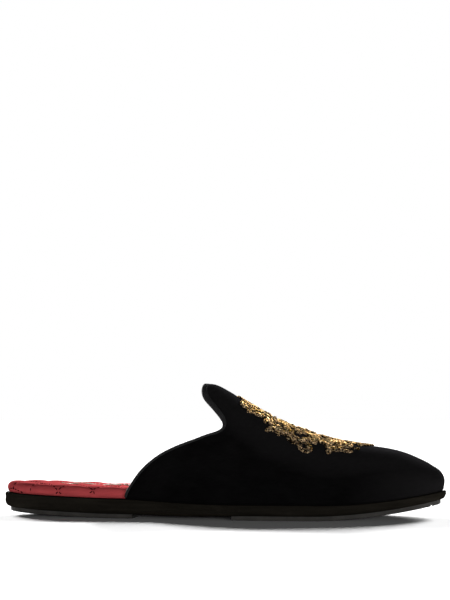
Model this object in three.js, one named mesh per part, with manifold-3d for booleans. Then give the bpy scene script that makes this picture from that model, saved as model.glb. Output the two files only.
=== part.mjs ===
// A backless velvet slipper (a babouche or mule) for the right foot, as an assembly of separate pieces:
// outsole, rubber heel pad, rubber forefoot pad, quilted insole, velvet upper and the binding of its topline.
// Millimetres. X runs from the heel to the toe, +Y is the inner (medial) side, +Z is up, and the treads lie on z = 0.
import * as THREE from "three";
import { mergeVertices } from "three/addons/utils/BufferGeometryUtils.js";
import Module from "manifold-3d";

// Lengths and widths of the sole
const SOLE_LENGTH = 295;
const BALL_WIDTH = 100;
const WAIST_WIDTH = 74;
const HEEL_WIDTH = 66;
// Heights of the last's comb above the sole, at the tongue and at the tip of the toe
const INSTEP_HEIGHT = 76.8;
const TOE_HEIGHT = 16.5;
// Thicknesses of the layers
const HEEL_THICKNESS = 9.8;
const BALL_THICKNESS = 7.2;
const PAD_THICKNESS = 2.9;
const INSOLE_EDGE = 3.2;
const INSOLE_CROWN = 4.2;
const UPPER_WALL = 2.4;
const EDGE_WALL = 1.4;
// Lift of the treads above the floor at the tip of the toe and at the back of the heel, and its growth
const TOE_SPRING = 10;
const TOE_CURVE = 1.7;
const HEEL_SPRING = 3.5;
const HEEL_CURVE = 1.3;
// How much the sole sags between its pads
const WAIST_SAG = 0.9;
// Where things stand along the sole, as shares of its length
const WAIST_AT = 0.44;
const WAIST_REACH = 0.15;
const HEEL_FLAT_AT = 0.26;
const TOE_FLAT_AT = 0.725;
const HEEL_BREAST_AT = 0.336;
const TREAD_START_AT = 0.56;
// Edges and insets
const SOLE_EDGE_ROUND = 3.4;
const SOLE_TOP_ROUND = 0.8;
const PAD_INSET = 3.6;
const PAD_ROUND = 0.9;
const FEATHER_INSET = 1.6;
const INSOLE_INSET = 2.0;
const SEAM = 0.3;
// Round ends of the outline, as shares of the sole's length
const HEEL_ROUND = 0.125;
const HEEL_POWER = 2.1;
const TOE_ROUND = 0.17;
const TOE_POWER = 2.2;
// The fan of sections round the toe: where it starts, and how far its pole lies behind the tip
const TOE_FAN_AT = 0.8;
const TOE_POLE = 17;
// The binding of the topline
const BINDING_DEPTH = 3.6;
const BINDING_THICKNESS = 0.7;
const BINDING_LOW_SHARE = 0.4;
const BINDING_START = 0.9;
const BINDING_GAP = 0.55;
// The share of a row of the upper's grid that the thinned edge under the binding takes
const EDGE_SHARE = 0.028;
const BREAST_SAG = 7;

// The sole's edge on each side of its long axis, before the round ends close it
const OUTLINE = [
  { at: 0.0, lateral: 0.43 * HEEL_WIDTH, medial: 0.41 * HEEL_WIDTH },
  { at: 0.14, lateral: 0.51 * HEEL_WIDTH, medial: 0.49 * HEEL_WIDTH },
  { at: 0.28, lateral: 0.5 * WAIST_WIDTH, medial: 0.43 * WAIST_WIDTH },
  { at: 0.42, lateral: 0.575 * WAIST_WIDTH, medial: 0.43 * WAIST_WIDTH },
  { at: 0.56, lateral: 0.48 * BALL_WIDTH, medial: 0.44 * BALL_WIDTH },
  { at: 0.66, lateral: 0.5 * BALL_WIDTH, medial: 0.493 * BALL_WIDTH },
  { at: 0.76, lateral: 0.47 * BALL_WIDTH, medial: 0.49 * BALL_WIDTH },
  { at: 0.86, lateral: 0.395 * BALL_WIDTH, medial: 0.445 * BALL_WIDTH },
  { at: 0.94, lateral: 0.315 * BALL_WIDTH, medial: 0.4 * BALL_WIDTH },
  { at: 1.0, lateral: 0.25 * BALL_WIDTH, medial: 0.35 * BALL_WIDTH },
];

// The thickness of the outsole between its pads and its top
const THICKNESS = [
  { at: 0.0, thickness: 0.95 * HEEL_THICKNESS },
  { at: 0.15, thickness: 1.0 * HEEL_THICKNESS },
  { at: 0.32, thickness: 0.98 * HEEL_THICKNESS },
  { at: 0.43, thickness: 0.88 * HEEL_THICKNESS },
  { at: 0.56, thickness: 0.99 * BALL_THICKNESS },
  { at: 0.69, thickness: 1.0 * BALL_THICKNESS },
  { at: 0.8, thickness: 0.89 * BALL_THICKNESS },
  { at: 0.92, thickness: 0.78 * BALL_THICKNESS },
  { at: 1.0, thickness: 0.72 * BALL_THICKNESS },
];

// The comb of the last, its highest line: how high it stands above the sole and how far it leans to the inner side
const CREST = [
  { at: 0.3, height: 1.16 * INSTEP_HEIGHT, inward: 0.0 * BALL_WIDTH },
  { at: 0.46, height: 1.0 * INSTEP_HEIGHT, inward: 0.02 * BALL_WIDTH },
  { at: 0.48, height: 0.998 * INSTEP_HEIGHT, inward: 0.025 * BALL_WIDTH },
  { at: 0.505, height: 0.956 * INSTEP_HEIGHT, inward: 0.032 * BALL_WIDTH },
  { at: 0.555, height: 0.846 * INSTEP_HEIGHT, inward: 0.045 * BALL_WIDTH },
  { at: 0.59, height: 0.769 * INSTEP_HEIGHT, inward: 0.055 * BALL_WIDTH },
  { at: 0.63, height: 0.69 * INSTEP_HEIGHT, inward: 0.063 * BALL_WIDTH },
  { at: 0.68, height: 0.612 * INSTEP_HEIGHT, inward: 0.07 * BALL_WIDTH },
  { at: 0.74, height: 0.541 * INSTEP_HEIGHT, inward: 0.076 * BALL_WIDTH },
  { at: 0.8, height: 0.489 * INSTEP_HEIGHT, inward: 0.08 * BALL_WIDTH },
  { at: 0.85, height: 0.449 * INSTEP_HEIGHT, inward: 0.08 * BALL_WIDTH },
  { at: 0.895, height: 0.391 * INSTEP_HEIGHT, inward: 0.078 * BALL_WIDTH },
  { at: 0.942, height: 0.288 * INSTEP_HEIGHT, inward: 0.07 * BALL_WIDTH },
  { at: 1.0, height: 1.0 * TOE_HEIGHT, inward: 0.05 * BALL_WIDTH },
];

// The shape of a section from the feather edge to the comb, as one cubic curve: how far it leans out over the
// sole, how steeply it leaves the sole, and how broad it is at the comb
const SECTION = [
  { at: 0.25, lean: 0.02, steep: 0.48, broad: 0.52 },
  { at: 0.45, lean: 0.03, steep: 0.48, broad: 0.56 },
  { at: 0.6, lean: 0.035, steep: 0.5, broad: 0.6 },
  { at: 0.75, lean: 0.035, steep: 0.54, broad: 0.64 },
  { at: 0.88, lean: 0.03, steep: 0.6, broad: 0.66 },
  { at: 1.0, lean: 0.02, steep: 0.7, broad: 0.64 },
];

// The topline from the back of the quarter, over the notch and up the side of the tongue to its tip on the comb.
// rise is a share of the section's height
const TOPLINE = [
  { at: 0.3, rise: 0.0 },
  { at: 0.304, rise: 0.045 },
  { at: 0.313, rise: 0.098 },
  { at: 0.335, rise: 0.198 },
  { at: 0.367, rise: 0.308 },
  { at: 0.405, rise: 0.405 },
  { at: 0.45, rise: 0.5 },
  { at: 0.49, rise: 0.586 },
  { at: 0.508, rise: 0.634 },
  { at: 0.5175, rise: 0.68 },
  { at: 0.5195, rise: 0.722 },
  { at: 0.5155, rise: 0.758 },
  { at: 0.505, rise: 0.792 },
  { at: 0.488, rise: 0.832 },
  { at: 0.472, rise: 0.88 },
  { at: 0.463, rise: 0.935 },
  { at: 0.4605, rise: 0.975 },
  { at: 0.46, rise: 1.0 },
];

// Fineness of the meshes
const OUTLINE_STEPS = 40;
const TOPLINE_STEPS = 40;
const VAMP_STEPS = 20;
// How much closer the stations of the topline stand at the notch, and where that is along it
const NOTCH_CROWDING = 0.42;
const NOTCH_SHARE = 0.62;
const ROUND_STEPS = 3;

const LATERAL = -1;
const MEDIAL = 1;

// A natural cubic spline through one column of a table
function spline(rows, column, along = "at") {
  const x = rows.map((row) => row[along]);
  const y = rows.map((row) => row[column]);
  const last = rows.length - 1;
  const bend = new Array(rows.length).fill(0);
  const ratio = new Array(rows.length).fill(0);
  const part = new Array(rows.length).fill(0);
  for (let i = 1; i < last; i++) {
    const before = x[i] - x[i - 1];
    const after = x[i + 1] - x[i];
    const turn = 6 * ((y[i + 1] - y[i]) / after - (y[i] - y[i - 1]) / before);
    const pivot = 2 * (before + after) - before * ratio[i - 1];
    ratio[i] = after / pivot;
    part[i] = (turn - before * part[i - 1]) / pivot;
  }
  for (let i = last - 1; i > 0; i--) bend[i] = part[i] - ratio[i] * bend[i + 1];
  return (at) => {
    let i = 0;
    while (i < last - 1 && at > x[i + 1]) i++;
    const span = x[i + 1] - x[i];
    const a = (x[i + 1] - at) / span;
    const b = (at - x[i]) / span;
    const curve = ((a ** 3 - a) * bend[i] + (b ** 3 - b) * bend[i + 1]) * (span ** 2 / 6);
    return a * y[i] + b * y[i + 1] + curve;
  };
}

const edge = { [LATERAL]: spline(OUTLINE, "lateral"), [MEDIAL]: spline(OUTLINE, "medial") };
const outsoleThickness = spline(THICKNESS, "thickness");
const combHeight = spline(CREST, "height");
const combInward = spline(CREST, "inward");
const lean = spline(SECTION, "lean");
const steep = spline(SECTION, "steep");
const broad = spline(SECTION, "broad");

const alongOf = (at) => (at - 0.5) * SOLE_LENGTH;
const atOf = (x) => x / SOLE_LENGTH + 0.5;
const roundEnd = (share, power) => Math.max(0, 1 - share ** power) ** (1 / power);
const ramp = (at, from, to) => THREE.MathUtils.smoothstep(at, from, to);

const ends = (at) => ({
  heel: roundEnd(Math.max(0, HEEL_ROUND - at) / HEEL_ROUND, HEEL_POWER),
  toe: roundEnd(Math.max(0, at - 1 + TOE_ROUND) / TOE_ROUND, TOE_POWER),
});

// Half of the sole's width on one side, closed to nothing by the round ends
const halfWidth = (at, side) => edge[side](at) * ends(at).heel * ends(at).toe;

// Each end closes to one point midway between the sides
const endShift = (at) => ((edge[MEDIAL](at) - edge[LATERAL](at)) / 2) * (1 - ends(at).heel * ends(at).toe);

function outlinePoint(at, side) {
  return new THREE.Vector2(alongOf(at), side * halfWidth(at, side) + endShift(at));
}

// Stations that crowd towards both round ends
const station = (k, steps) => (1 - Math.cos((Math.PI * k) / steps)) / 2;

// The outline moved inwards: the point at one station, and a whole ring from the heel by the outer side to the toe
function insetPoint(at, side, inset) {
  const little = 1e-4;
  const low = Math.max(0, at - little);
  const high = Math.min(1, at + little);
  let along = outlinePoint(high, side).sub(outlinePoint(low, side)).normalize();
  if (at <= little) along = new THREE.Vector2(0, side);
  if (at >= 1 - little) along = new THREE.Vector2(0, -side);
  const inward = new THREE.Vector2(side * along.y, -side * along.x);
  return outlinePoint(at, side).addScaledVector(inward, inset);
}

function ring(inset, height) {
  const points = [];
  for (let k = 0; k < 2 * OUTLINE_STEPS; k++) {
    const side = k <= OUTLINE_STEPS ? LATERAL : MEDIAL;
    const at = station(side === LATERAL ? k : 2 * OUTLINE_STEPS - k, OUTLINE_STEPS);
    const plan = insetPoint(at, side, typeof inset === "function" ? inset(at) : inset);
    points.push(new THREE.Vector3(plan.x, plan.y, height(atOf(plan.x), plan)));
  }
  return points;
}

// A closed solid through rings of equal count, lowest first, capped by strips from side to side
function ringSolid(rings) {
  const count = rings[0].length;
  const half = count / 2;
  const faces = [];
  for (let r = 0; r + 1 < rings.length; r++)
    for (let k = 0; k < count; k++) {
      const next = (k + 1) % count;
      const [a, b] = [r * count + k, r * count + next];
      faces.push(a, b, b + count, a, b + count, a + count);
    }
  for (const [first, up] of [[0, false], [(rings.length - 1) * count, true]])
    for (let k = 0; k < half; k++) {
      const [a, b] = [first + k, first + k + 1];
      const [c, d] = [first + ((count - k) % count), first + count - k - 1];
      const quad = up ? [a, b, d, a, d, c] : [a, d, b, a, c, d];
      faces.push(...quad);
    }
  return meshGeometry(rings.flat(), faces);
}

// A geometry from points and faces, without the faces that closed to a line
function meshGeometry(points, faces) {
  const merged = new Map();
  const kept = [];
  const index = points.map((p) => {
    const key = [p.x, p.y, p.z].map((v) => Math.round(v * 1e4)).join();
    if (!merged.has(key)) {
      merged.set(key, kept.length);
      kept.push(p);
    }
    return merged.get(key);
  });
  const used = [];
  for (let i = 0; i < faces.length; i += 3) {
    const [a, b, c] = [index[faces[i]], index[faces[i + 1]], index[faces[i + 2]]];
    if (a !== b && b !== c && c !== a) used.push(a, b, c);
  }
  const geometry = new THREE.BufferGeometry().setFromPoints(kept);
  geometry.setIndex(used);
  geometry.computeVertexNormals();
  return geometry;
}

// Heights of the layers over the floor
function spring(at) {
  const heel = Math.max(0, 1 - at / HEEL_FLAT_AT);
  const toe = Math.max(0, (at - TOE_FLAT_AT) / (1 - TOE_FLAT_AT));
  return HEEL_SPRING * heel ** HEEL_CURVE + TOE_SPRING * toe ** TOE_CURVE;
}

function outsoleBottom(at) {
  const away = Math.min(1, Math.abs(at - WAIST_AT) / WAIST_REACH);
  return PAD_THICKNESS + spring(at) - WAIST_SAG * (1 - away ** 2) ** 2;
}

const outsoleTop = (at) => outsoleBottom(at) + outsoleThickness(at);

// The rounded lower edge of a layer: rings from the inset bottom out to the side
function lowerEdge(radius, inset, bottom) {
  const rings = [];
  for (let k = 0; k <= ROUND_STEPS; k++) {
    const turn = (Math.PI / 2) * (k / ROUND_STEPS);
    const rise = radius * (1 - Math.cos(turn));
    rings.push(ring(inset + radius * (1 - Math.sin(turn)), (at) => bottom(at) + rise));
  }
  return rings;
}

function makeOutsole() {
  return ringSolid([
    ...lowerEdge(SOLE_EDGE_ROUND, 0, outsoleBottom),
    ring(0, (at) => outsoleTop(at) - SOLE_TOP_ROUND),
    ring(SOLE_TOP_ROUND, outsoleTop),
  ]);
}

// The insole: flush inside the upper's wall, and out to the sole's edge where the heel is open
function makeInsole() {
  const covered = FEATHER_INSET + UPPER_WALL + 2 * SEAM;
  const inset = (at) => INSOLE_INSET + (covered - INSOLE_INSET) * ramp(at, 0.2, TOPLINE[0].at - 0.01);
  const base = (at) => outsoleTop(at) + SEAM;
  const grown = (extra) => (at) => inset(at) + extra;
  return ringSolid([
    ring(grown(0.6), base),
    ring(grown(0), (at) => base(at) + 0.3 * INSOLE_EDGE),
    ring(grown(0.3), (at) => base(at) + 0.8 * INSOLE_EDGE),
    ring(grown(1.6), (at) => base(at) + INSOLE_EDGE),
    ring(grown(5), (at) => base(at) + INSOLE_EDGE + 0.55 * INSOLE_CROWN),
    ring(grown(11), (at) => base(at) + INSOLE_EDGE + INSOLE_CROWN),
  ]);
}

// Solids for the cuts between the pads
const wasm = await Module();
wasm.setup();

function solidOf(geometry) {
  const bare = geometry.index ? geometry.toNonIndexed() : geometry.clone();
  bare.deleteAttribute("normal");
  bare.deleteAttribute("uv");
  const merged = mergeVertices(bare, 1e-4);
  const vertProperties = merged.attributes.position.array;
  const triVerts = new Uint32Array(merged.index.array);
  return new wasm.Manifold(new wasm.Mesh({ numProp: 3, vertProperties, triVerts }));
}

function geometryOf(solid) {
  const mesh = solid.getMesh();
  const geometry = new THREE.BufferGeometry();
  geometry.setAttribute("position", new THREE.BufferAttribute(mesh.vertProperties, 3));
  geometry.setIndex(new THREE.BufferAttribute(mesh.triVerts, 1));
  geometry.computeVertexNormals();
  return geometry;
}

// The tread layer under the outsole, from which both pads are cut
function treadLayer() {
  const top = (at) => outsoleBottom(at) - SEAM;
  return solidOf(ringSolid([...lowerEdge(PAD_ROUND, PAD_INSET, spring), ring(PAD_INSET, top)]));
}

// A block across the sole that ends in a hollow arc at one station
function blockTo(at, away, sag) {
  const x = alongOf(at);
  const reach = BALL_WIDTH;
  const shape = new THREE.Shape();
  shape.moveTo(away, -reach);
  shape.lineTo(x, -reach);
  shape.quadraticCurveTo(x + 2 * sag, 0, x, reach);
  shape.lineTo(away, reach);
  shape.closePath();
  const depth = 4 * TOE_SPRING;
  return solidOf(new THREE.ExtrudeGeometry(shape, { depth, bevelEnabled: false, curveSegments: 24 }).translate(0, 0, -depth / 2));
}

const makeHeelPad = () => geometryOf(treadLayer().intersect(blockTo(HEEL_BREAST_AT, -SOLE_LENGTH, -BREAST_SAG)));
const makeForefootPad = () => geometryOf(treadLayer().intersect(blockTo(TREAD_START_AT, SOLE_LENGTH, -BREAST_SAG)));

// A cubic curve's height at t through four values
function cubic(t, a, b, c, d) {
  const s = 1 - t;
  return s ** 3 * a + 3 * s ** 2 * t * b + 3 * s * t ** 2 * c + t ** 3 * d;
}

// A point of the upper's outer surface: at is the station along the sole and t runs from the sole to the comb
function upperPoint(at, t, side) {
  const fan = Math.max(0, (at - TOE_FAN_AT) / (1 - TOE_FAN_AT));
  const foot = insetPoint(at, side, FEATHER_INSET);
  const crestX = alongOf(at) - TOE_POLE * fan ** 3;
  const crest = new THREE.Vector2(crestX, combInward(atOf(crestX)));
  const out = cubic(t, 1, 1 + lean(at), broad(at), 0);
  const plan = foot.sub(crest).multiplyScalar(out).add(crest);
  const base = outsoleTop(atOf(plan.x)) + SEAM;
  const height = combHeight(atOf(plan.x)) * cubic(t, 0, steep(at), 1, 1);
  return new THREE.Vector3(plan.x, plan.y, base + height);
}

// The outward normal there
function upperNormal(at, t, side) {
  const little = 1e-3;
  const low = Math.min(at, 1 - 2 * little);
  const [t0, t1] = t > 0.5 ? [t - little, t] : [t, t + little];
  const round = upperPoint(low + little, t, side).sub(upperPoint(low - little, t, side));
  const up = upperPoint(at, t1, side).sub(upperPoint(at, t0, side));
  if (at > 1 - 2 * little) round.set(0, -side, 0);
  else if (t > 1 - little) up.set(0, -side, 0);
  return round.cross(up).multiplyScalar(-side).normalize();
}

// The share round the section at which it reaches a share of its height
function aroundFor(at, rise) {
  let [low, high] = [0, 1];
  for (let k = 0; k < 40; k++) {
    const middle = (low + high) / 2;
    if (cubic(middle, 0, steep(at), 1, 1) < rise) low = middle;
    else high = middle;
  }
  return rise >= 1 ? 1 : (low + high) / 2;
}

// The topline as a smooth curve of station and share round the section, with its length as the parameter
const toplineRows = TOPLINE.map((row) => ({ ...row, around: aroundFor(row.at, row.rise), way: 0 }));
toplineRows.forEach((row, i) => {
  if (i === 0) return;
  const before = toplineRows[i - 1];
  const step = upperPoint(row.at, row.around, LATERAL).distanceTo(upperPoint(before.at, before.around, LATERAL));
  row.way = before.way + step;
});
const TOPLINE_WAY = toplineRows.at(-1).way;
const toplineAt = spline(toplineRows, "at", "way");
const toplineAround = spline(toplineRows, "around", "way");

// The stations of the topline, which crowd at the notch
function toplineStation(k) {
  const u = k / TOPLINE_STEPS;
  const turn = (v) => Math.sin(2 * Math.PI * (v - NOTCH_SHARE + 0.5));
  return TOPLINE_WAY * (u + (NOTCH_CROWDING / (2 * Math.PI)) * (turn(u) - turn(0)));
}

// A place on the grid of the upper: way runs up the topline, and along is the share of a row from there to the toe
function gridPlace(way, along) {
  const share = way / TOPLINE_WAY;
  const [at, around] = [toplineAt(way), Math.min(1, toplineAround(way))];
  return { at: at + (1 - at) * along, around: around + (share - around) * along };
}

function gridPoint(way, along, side) {
  const { at, around } = gridPlace(way, along);
  return upperPoint(at, around, side);
}

function gridNormal(way, along, side) {
  const { at, around } = gridPlace(way, along);
  return upperNormal(at, around, side);
}

// The columns of the grid: the topline, one just clear of the binding, and then closer and closer to the toe
function vampShares() {
  const shares = [0, EDGE_SHARE];
  for (let k = 1; k <= VAMP_STEPS; k++) shares.push(Math.sin((Math.PI / 2) * (k / VAMP_STEPS)));
  return shares;
}

// Both halves of the upper, each an outer and an inner skin joined at the sole and at the topline
function makeUpper() {
  const shares = vampShares();
  const points = [];
  const faces = [];
  const rows = TOPLINE_STEPS + 1;
  const layer = shares.length * rows;
  for (const side of [LATERAL, MEDIAL]) {
    const first = points.length;
    const inner = [];
    shares.forEach((along, column) => {
      const wall = column < 2 ? EDGE_WALL : UPPER_WALL;
      for (let r = 0; r < rows; r++) {
        const way = toplineStation(r);
        const point = gridPoint(way, along, side);
        const normal = gridNormal(way, along, side);
        if (r === 0) normal.setZ(0).normalize();
        points.push(point);
        inner.push(point.clone().addScaledVector(normal, -wall));
      }
    });
    points.push(...inner);
    const quad = (a, b, c, d) => faces.push(...(side === LATERAL ? [a, b, c, a, c, d] : [a, c, b, a, d, c]));
    for (let c = 0; c + 1 < shares.length; c++) {
      for (let r = 0; r < TOPLINE_STEPS; r++) {
        const [a, b] = [first + c * rows + r, first + (c + 1) * rows + r];
        quad(a, b, b + 1, a + 1);
        quad(a + layer + 1, b + layer + 1, b + layer, a + layer);
      }
      const [a, b] = [first + c * rows, first + (c + 1) * rows];
      quad(a + layer, b + layer, b, a);
    }
    for (let r = 0; r < TOPLINE_STEPS; r++) {
      const a = first + r;
      quad(a, a + 1, a + 1 + layer, a + layer);
    }
  }
  return meshGeometry(points, faces);
}

// The binding: a ribbon folded over the topline, swept from the back of one quarter over the tongue to the other
// The fold's profile: how far it stands out of the upper's outer skin, and how far down from the topline
function bindingFold(depth) {
  const [near, far] = [BINDING_GAP, BINDING_GAP + BINDING_THICKNESS];
  const inside = -EDGE_WALL - near;
  const outside = -EDGE_WALL - far;
  return [
    [near, depth],
    [near, -near],
    [inside, -near],
    [inside, depth],
    [outside, depth],
    [outside, -0.4 * far],
    [inside + 0.3 * near, -far],
    [-near, -far],
    [far, -0.4 * far],
    [far, depth],
  ];
}

function bindingSection(way, side) {
  const little = 0.3;
  const [low, high] = [Math.max(0, way - little), Math.min(TOPLINE_WAY, way + little)];
  const along = gridPoint(high, 0, side).sub(gridPoint(low, 0, side)).normalize();
  if (way >= TOPLINE_WAY) along.set(0, -side, 0);
  const point = gridPoint(way, 0, side);
  const normal = gridNormal(way, 0, side);
  const into = new THREE.Vector3().crossVectors(normal, along).multiplyScalar(side).normalize();
  const row = gridPoint(way, EDGE_SHARE, side).sub(point);
  const reach = row.dot(into);
  const depth = BINDING_DEPTH * (BINDING_LOW_SHARE + (1 - BINDING_LOW_SHARE) * ramp(way / TOPLINE_WAY, 0.5, 0.78));
  return bindingFold(depth).map(([out, down]) => {
    if (down < 0) return point.clone().addScaledVector(normal, out).addScaledVector(into, down);
    const share = (EDGE_SHARE * down) / reach;
    return gridPoint(way, share, side).addScaledVector(gridNormal(way, share, side), out);
  });
}

function makeBinding() {
  const sections = [];
  const stations = [BINDING_START];
  for (let k = 1; k <= TOPLINE_STEPS; k++) stations.push(toplineStation(k));
  for (const way of stations) sections.push(bindingSection(way, LATERAL));
  for (const way of stations.slice(0, -1).reverse()) sections.push(bindingSection(way, MEDIAL));
  const count = sections[0].length;
  const faces = [];
  for (let s = 0; s + 1 < sections.length; s++)
    for (let k = 0; k < count; k++) {
      const next = (k + 1) % count;
      const [a, b] = [s * count + k, s * count + next];
      faces.push(a, b, b + count, a, b + count, a + count);
    }
  const fold = bindingFold(BINDING_DEPTH).map(([out, down]) => new THREE.Vector2(out, down));
  const end = THREE.ShapeUtils.triangulateShape(fold, []);
  const lastSection = (sections.length - 1) * count;
  for (const [a, b, c] of end) {
    faces.push(a, c, b);
    faces.push(lastSection + a, lastSection + b, lastSection + c);
  }
  return meshGeometry(sections.flat(), faces);
}

const FINISHES = {
  velvet: { color: 0x08080a, roughness: 0.95, metalness: 0 },
  ribbon: { color: 0x1c1b1d, roughness: 0.6, metalness: 0 },
  satin: { color: 0x8f1f27, roughness: 0.45, metalness: 0 },
  leather: { color: 0x171512, roughness: 0.55, metalness: 0 },
  rubber: { color: 0x262524, roughness: 0.7, metalness: 0 },
};

const PIECES = [
  { name: "outsole", make: makeOutsole, finish: "leather" },
  { name: "heel_pad", make: makeHeelPad, finish: "rubber" },
  { name: "forefoot_pad", make: makeForefootPad, finish: "rubber" },
  { name: "insole", make: makeInsole, finish: "satin" },
  { name: "upper", make: makeUpper, finish: "velvet" },
  { name: "topline_binding", make: makeBinding, finish: "ribbon" },
];

const slipper = new THREE.Group();
for (const { name, make, finish } of PIECES) {
  const mesh = new THREE.Mesh(make(), new THREE.MeshStandardMaterial(FINISHES[finish]));
  mesh.name = name;
  slipper.add(mesh);
}
// The origin lies under the middle of the whole shoe
const box = new THREE.Box3().setFromObject(slipper);
const middle = box.getCenter(new THREE.Vector3());
slipper.position.set(-middle.x, -middle.y, -box.min.z);

export default slipper;
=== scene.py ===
"""The finished look of a velvet slipper, built round its CAD frame.

Every length is in millimetres until a mesh is made. X runs from the heel to the toe, +Y is the inner side of the
right foot and +Z is up.
"""

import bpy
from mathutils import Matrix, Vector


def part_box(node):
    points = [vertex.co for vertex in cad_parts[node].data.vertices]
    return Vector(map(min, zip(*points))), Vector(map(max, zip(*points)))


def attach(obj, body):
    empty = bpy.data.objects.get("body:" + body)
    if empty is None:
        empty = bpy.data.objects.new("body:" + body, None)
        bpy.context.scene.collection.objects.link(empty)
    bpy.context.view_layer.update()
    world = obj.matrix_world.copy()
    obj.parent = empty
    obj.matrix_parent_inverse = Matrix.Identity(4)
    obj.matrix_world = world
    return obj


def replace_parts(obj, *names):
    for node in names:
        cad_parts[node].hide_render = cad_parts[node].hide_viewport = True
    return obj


bl_info = {
    "name": "Velvet Slipper Look",
    "version": (1, 0, 0),
    "blender": (4, 5, 0),
    "location": "View3D > Sidebar > Slipper",
    "description": "Builds the slipper's velvet upper, binding, quilted insole, sole, embroidery and stage",
    "category": "Object",
}

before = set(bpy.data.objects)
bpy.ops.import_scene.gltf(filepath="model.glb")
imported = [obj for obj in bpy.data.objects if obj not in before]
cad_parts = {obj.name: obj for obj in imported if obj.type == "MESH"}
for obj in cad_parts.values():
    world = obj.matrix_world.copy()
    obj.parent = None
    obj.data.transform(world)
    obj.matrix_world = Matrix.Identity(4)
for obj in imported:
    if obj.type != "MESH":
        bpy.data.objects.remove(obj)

import math

import bmesh
import bpy
import numpy as np
from bpy.props import BoolProperty, FloatProperty, FloatVectorProperty, IntProperty, PointerProperty
from mathutils import Vector

MM = 0.001
LATERAL = -1.0
MEDIAL = 1.0

# Lengths, widths and heights of the last and of the layers, as the CAD has them
SOLE_LENGTH = 295.0
BALL_WIDTH = 100.0
WAIST_WIDTH = 74.0
HEEL_WIDTH = 66.0
INSTEP_HEIGHT = 76.8
TOE_HEIGHT = 16.5
HEEL_THICKNESS = 9.8
BALL_THICKNESS = 7.2
PAD_THICKNESS = 2.9
INSOLE_EDGE = 3.2
INSOLE_CROWN = 4.2
UPPER_WALL = 2.4
EDGE_WALL = 1.4
TOE_SPRING = 10.0
TOE_CURVE = 1.7
HEEL_SPRING = 3.5
HEEL_CURVE = 1.3
WAIST_SAG = 0.9
WAIST_AT = 0.44
WAIST_REACH = 0.15
HEEL_FLAT_AT = 0.26
TOE_FLAT_AT = 0.725
SOLE_EDGE_ROUND = 3.4
SOLE_TOP_ROUND = 0.8
FEATHER_INSET = 1.6
INSOLE_INSET = 2.0
SEAM = 0.3
HEEL_ROUND = 0.125
HEEL_POWER = 2.1
TOE_ROUND = 0.17
TOE_POWER = 2.2
TOE_FAN_AT = 0.8
TOE_POLE = 17.0
BINDING_DEPTH = 2.9
BINDING_LOW_SHARE = 0.34
BINDING_REACH = 0.85
BINDING_RISE = 1.4
TOE_FULLNESS = 1.2
TOE_END_FULLNESS = 1.3
TONGUE_FULLNESS = 0.65
EDGE_SHARE = 0.028
NOTCH_CROWDING = 0.42
NOTCH_SHARE = 0.62
OUTLINE_STEPS = 40

# The sole's edge on each side of its long axis, before the round ends close it
OUTLINE = [
    {"at": 0.0, "lateral": 0.43 * HEEL_WIDTH, "medial": 0.41 * HEEL_WIDTH},
    {"at": 0.14, "lateral": 0.51 * HEEL_WIDTH, "medial": 0.49 * HEEL_WIDTH},
    {"at": 0.28, "lateral": 0.5 * WAIST_WIDTH, "medial": 0.43 * WAIST_WIDTH},
    {"at": 0.42, "lateral": 0.575 * WAIST_WIDTH, "medial": 0.43 * WAIST_WIDTH},
    {"at": 0.56, "lateral": 0.48 * BALL_WIDTH, "medial": 0.44 * BALL_WIDTH},
    {"at": 0.66, "lateral": 0.5 * BALL_WIDTH, "medial": 0.493 * BALL_WIDTH},
    {"at": 0.76, "lateral": 0.47 * BALL_WIDTH, "medial": 0.49 * BALL_WIDTH},
    {"at": 0.86, "lateral": 0.395 * BALL_WIDTH, "medial": 0.445 * BALL_WIDTH},
    {"at": 0.94, "lateral": 0.315 * BALL_WIDTH, "medial": 0.4 * BALL_WIDTH},
    {"at": 1.0, "lateral": 0.25 * BALL_WIDTH, "medial": 0.35 * BALL_WIDTH},
]

# The thickness of the outsole
THICKNESS = [
    {"at": 0.0, "thickness": 0.95 * HEEL_THICKNESS},
    {"at": 0.15, "thickness": 1.0 * HEEL_THICKNESS},
    {"at": 0.32, "thickness": 0.98 * HEEL_THICKNESS},
    {"at": 0.43, "thickness": 0.88 * HEEL_THICKNESS},
    {"at": 0.56, "thickness": 0.99 * BALL_THICKNESS},
    {"at": 0.69, "thickness": 1.0 * BALL_THICKNESS},
    {"at": 0.8, "thickness": 0.89 * BALL_THICKNESS},
    {"at": 0.92, "thickness": 0.78 * BALL_THICKNESS},
    {"at": 1.0, "thickness": 0.72 * BALL_THICKNESS},
]

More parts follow.
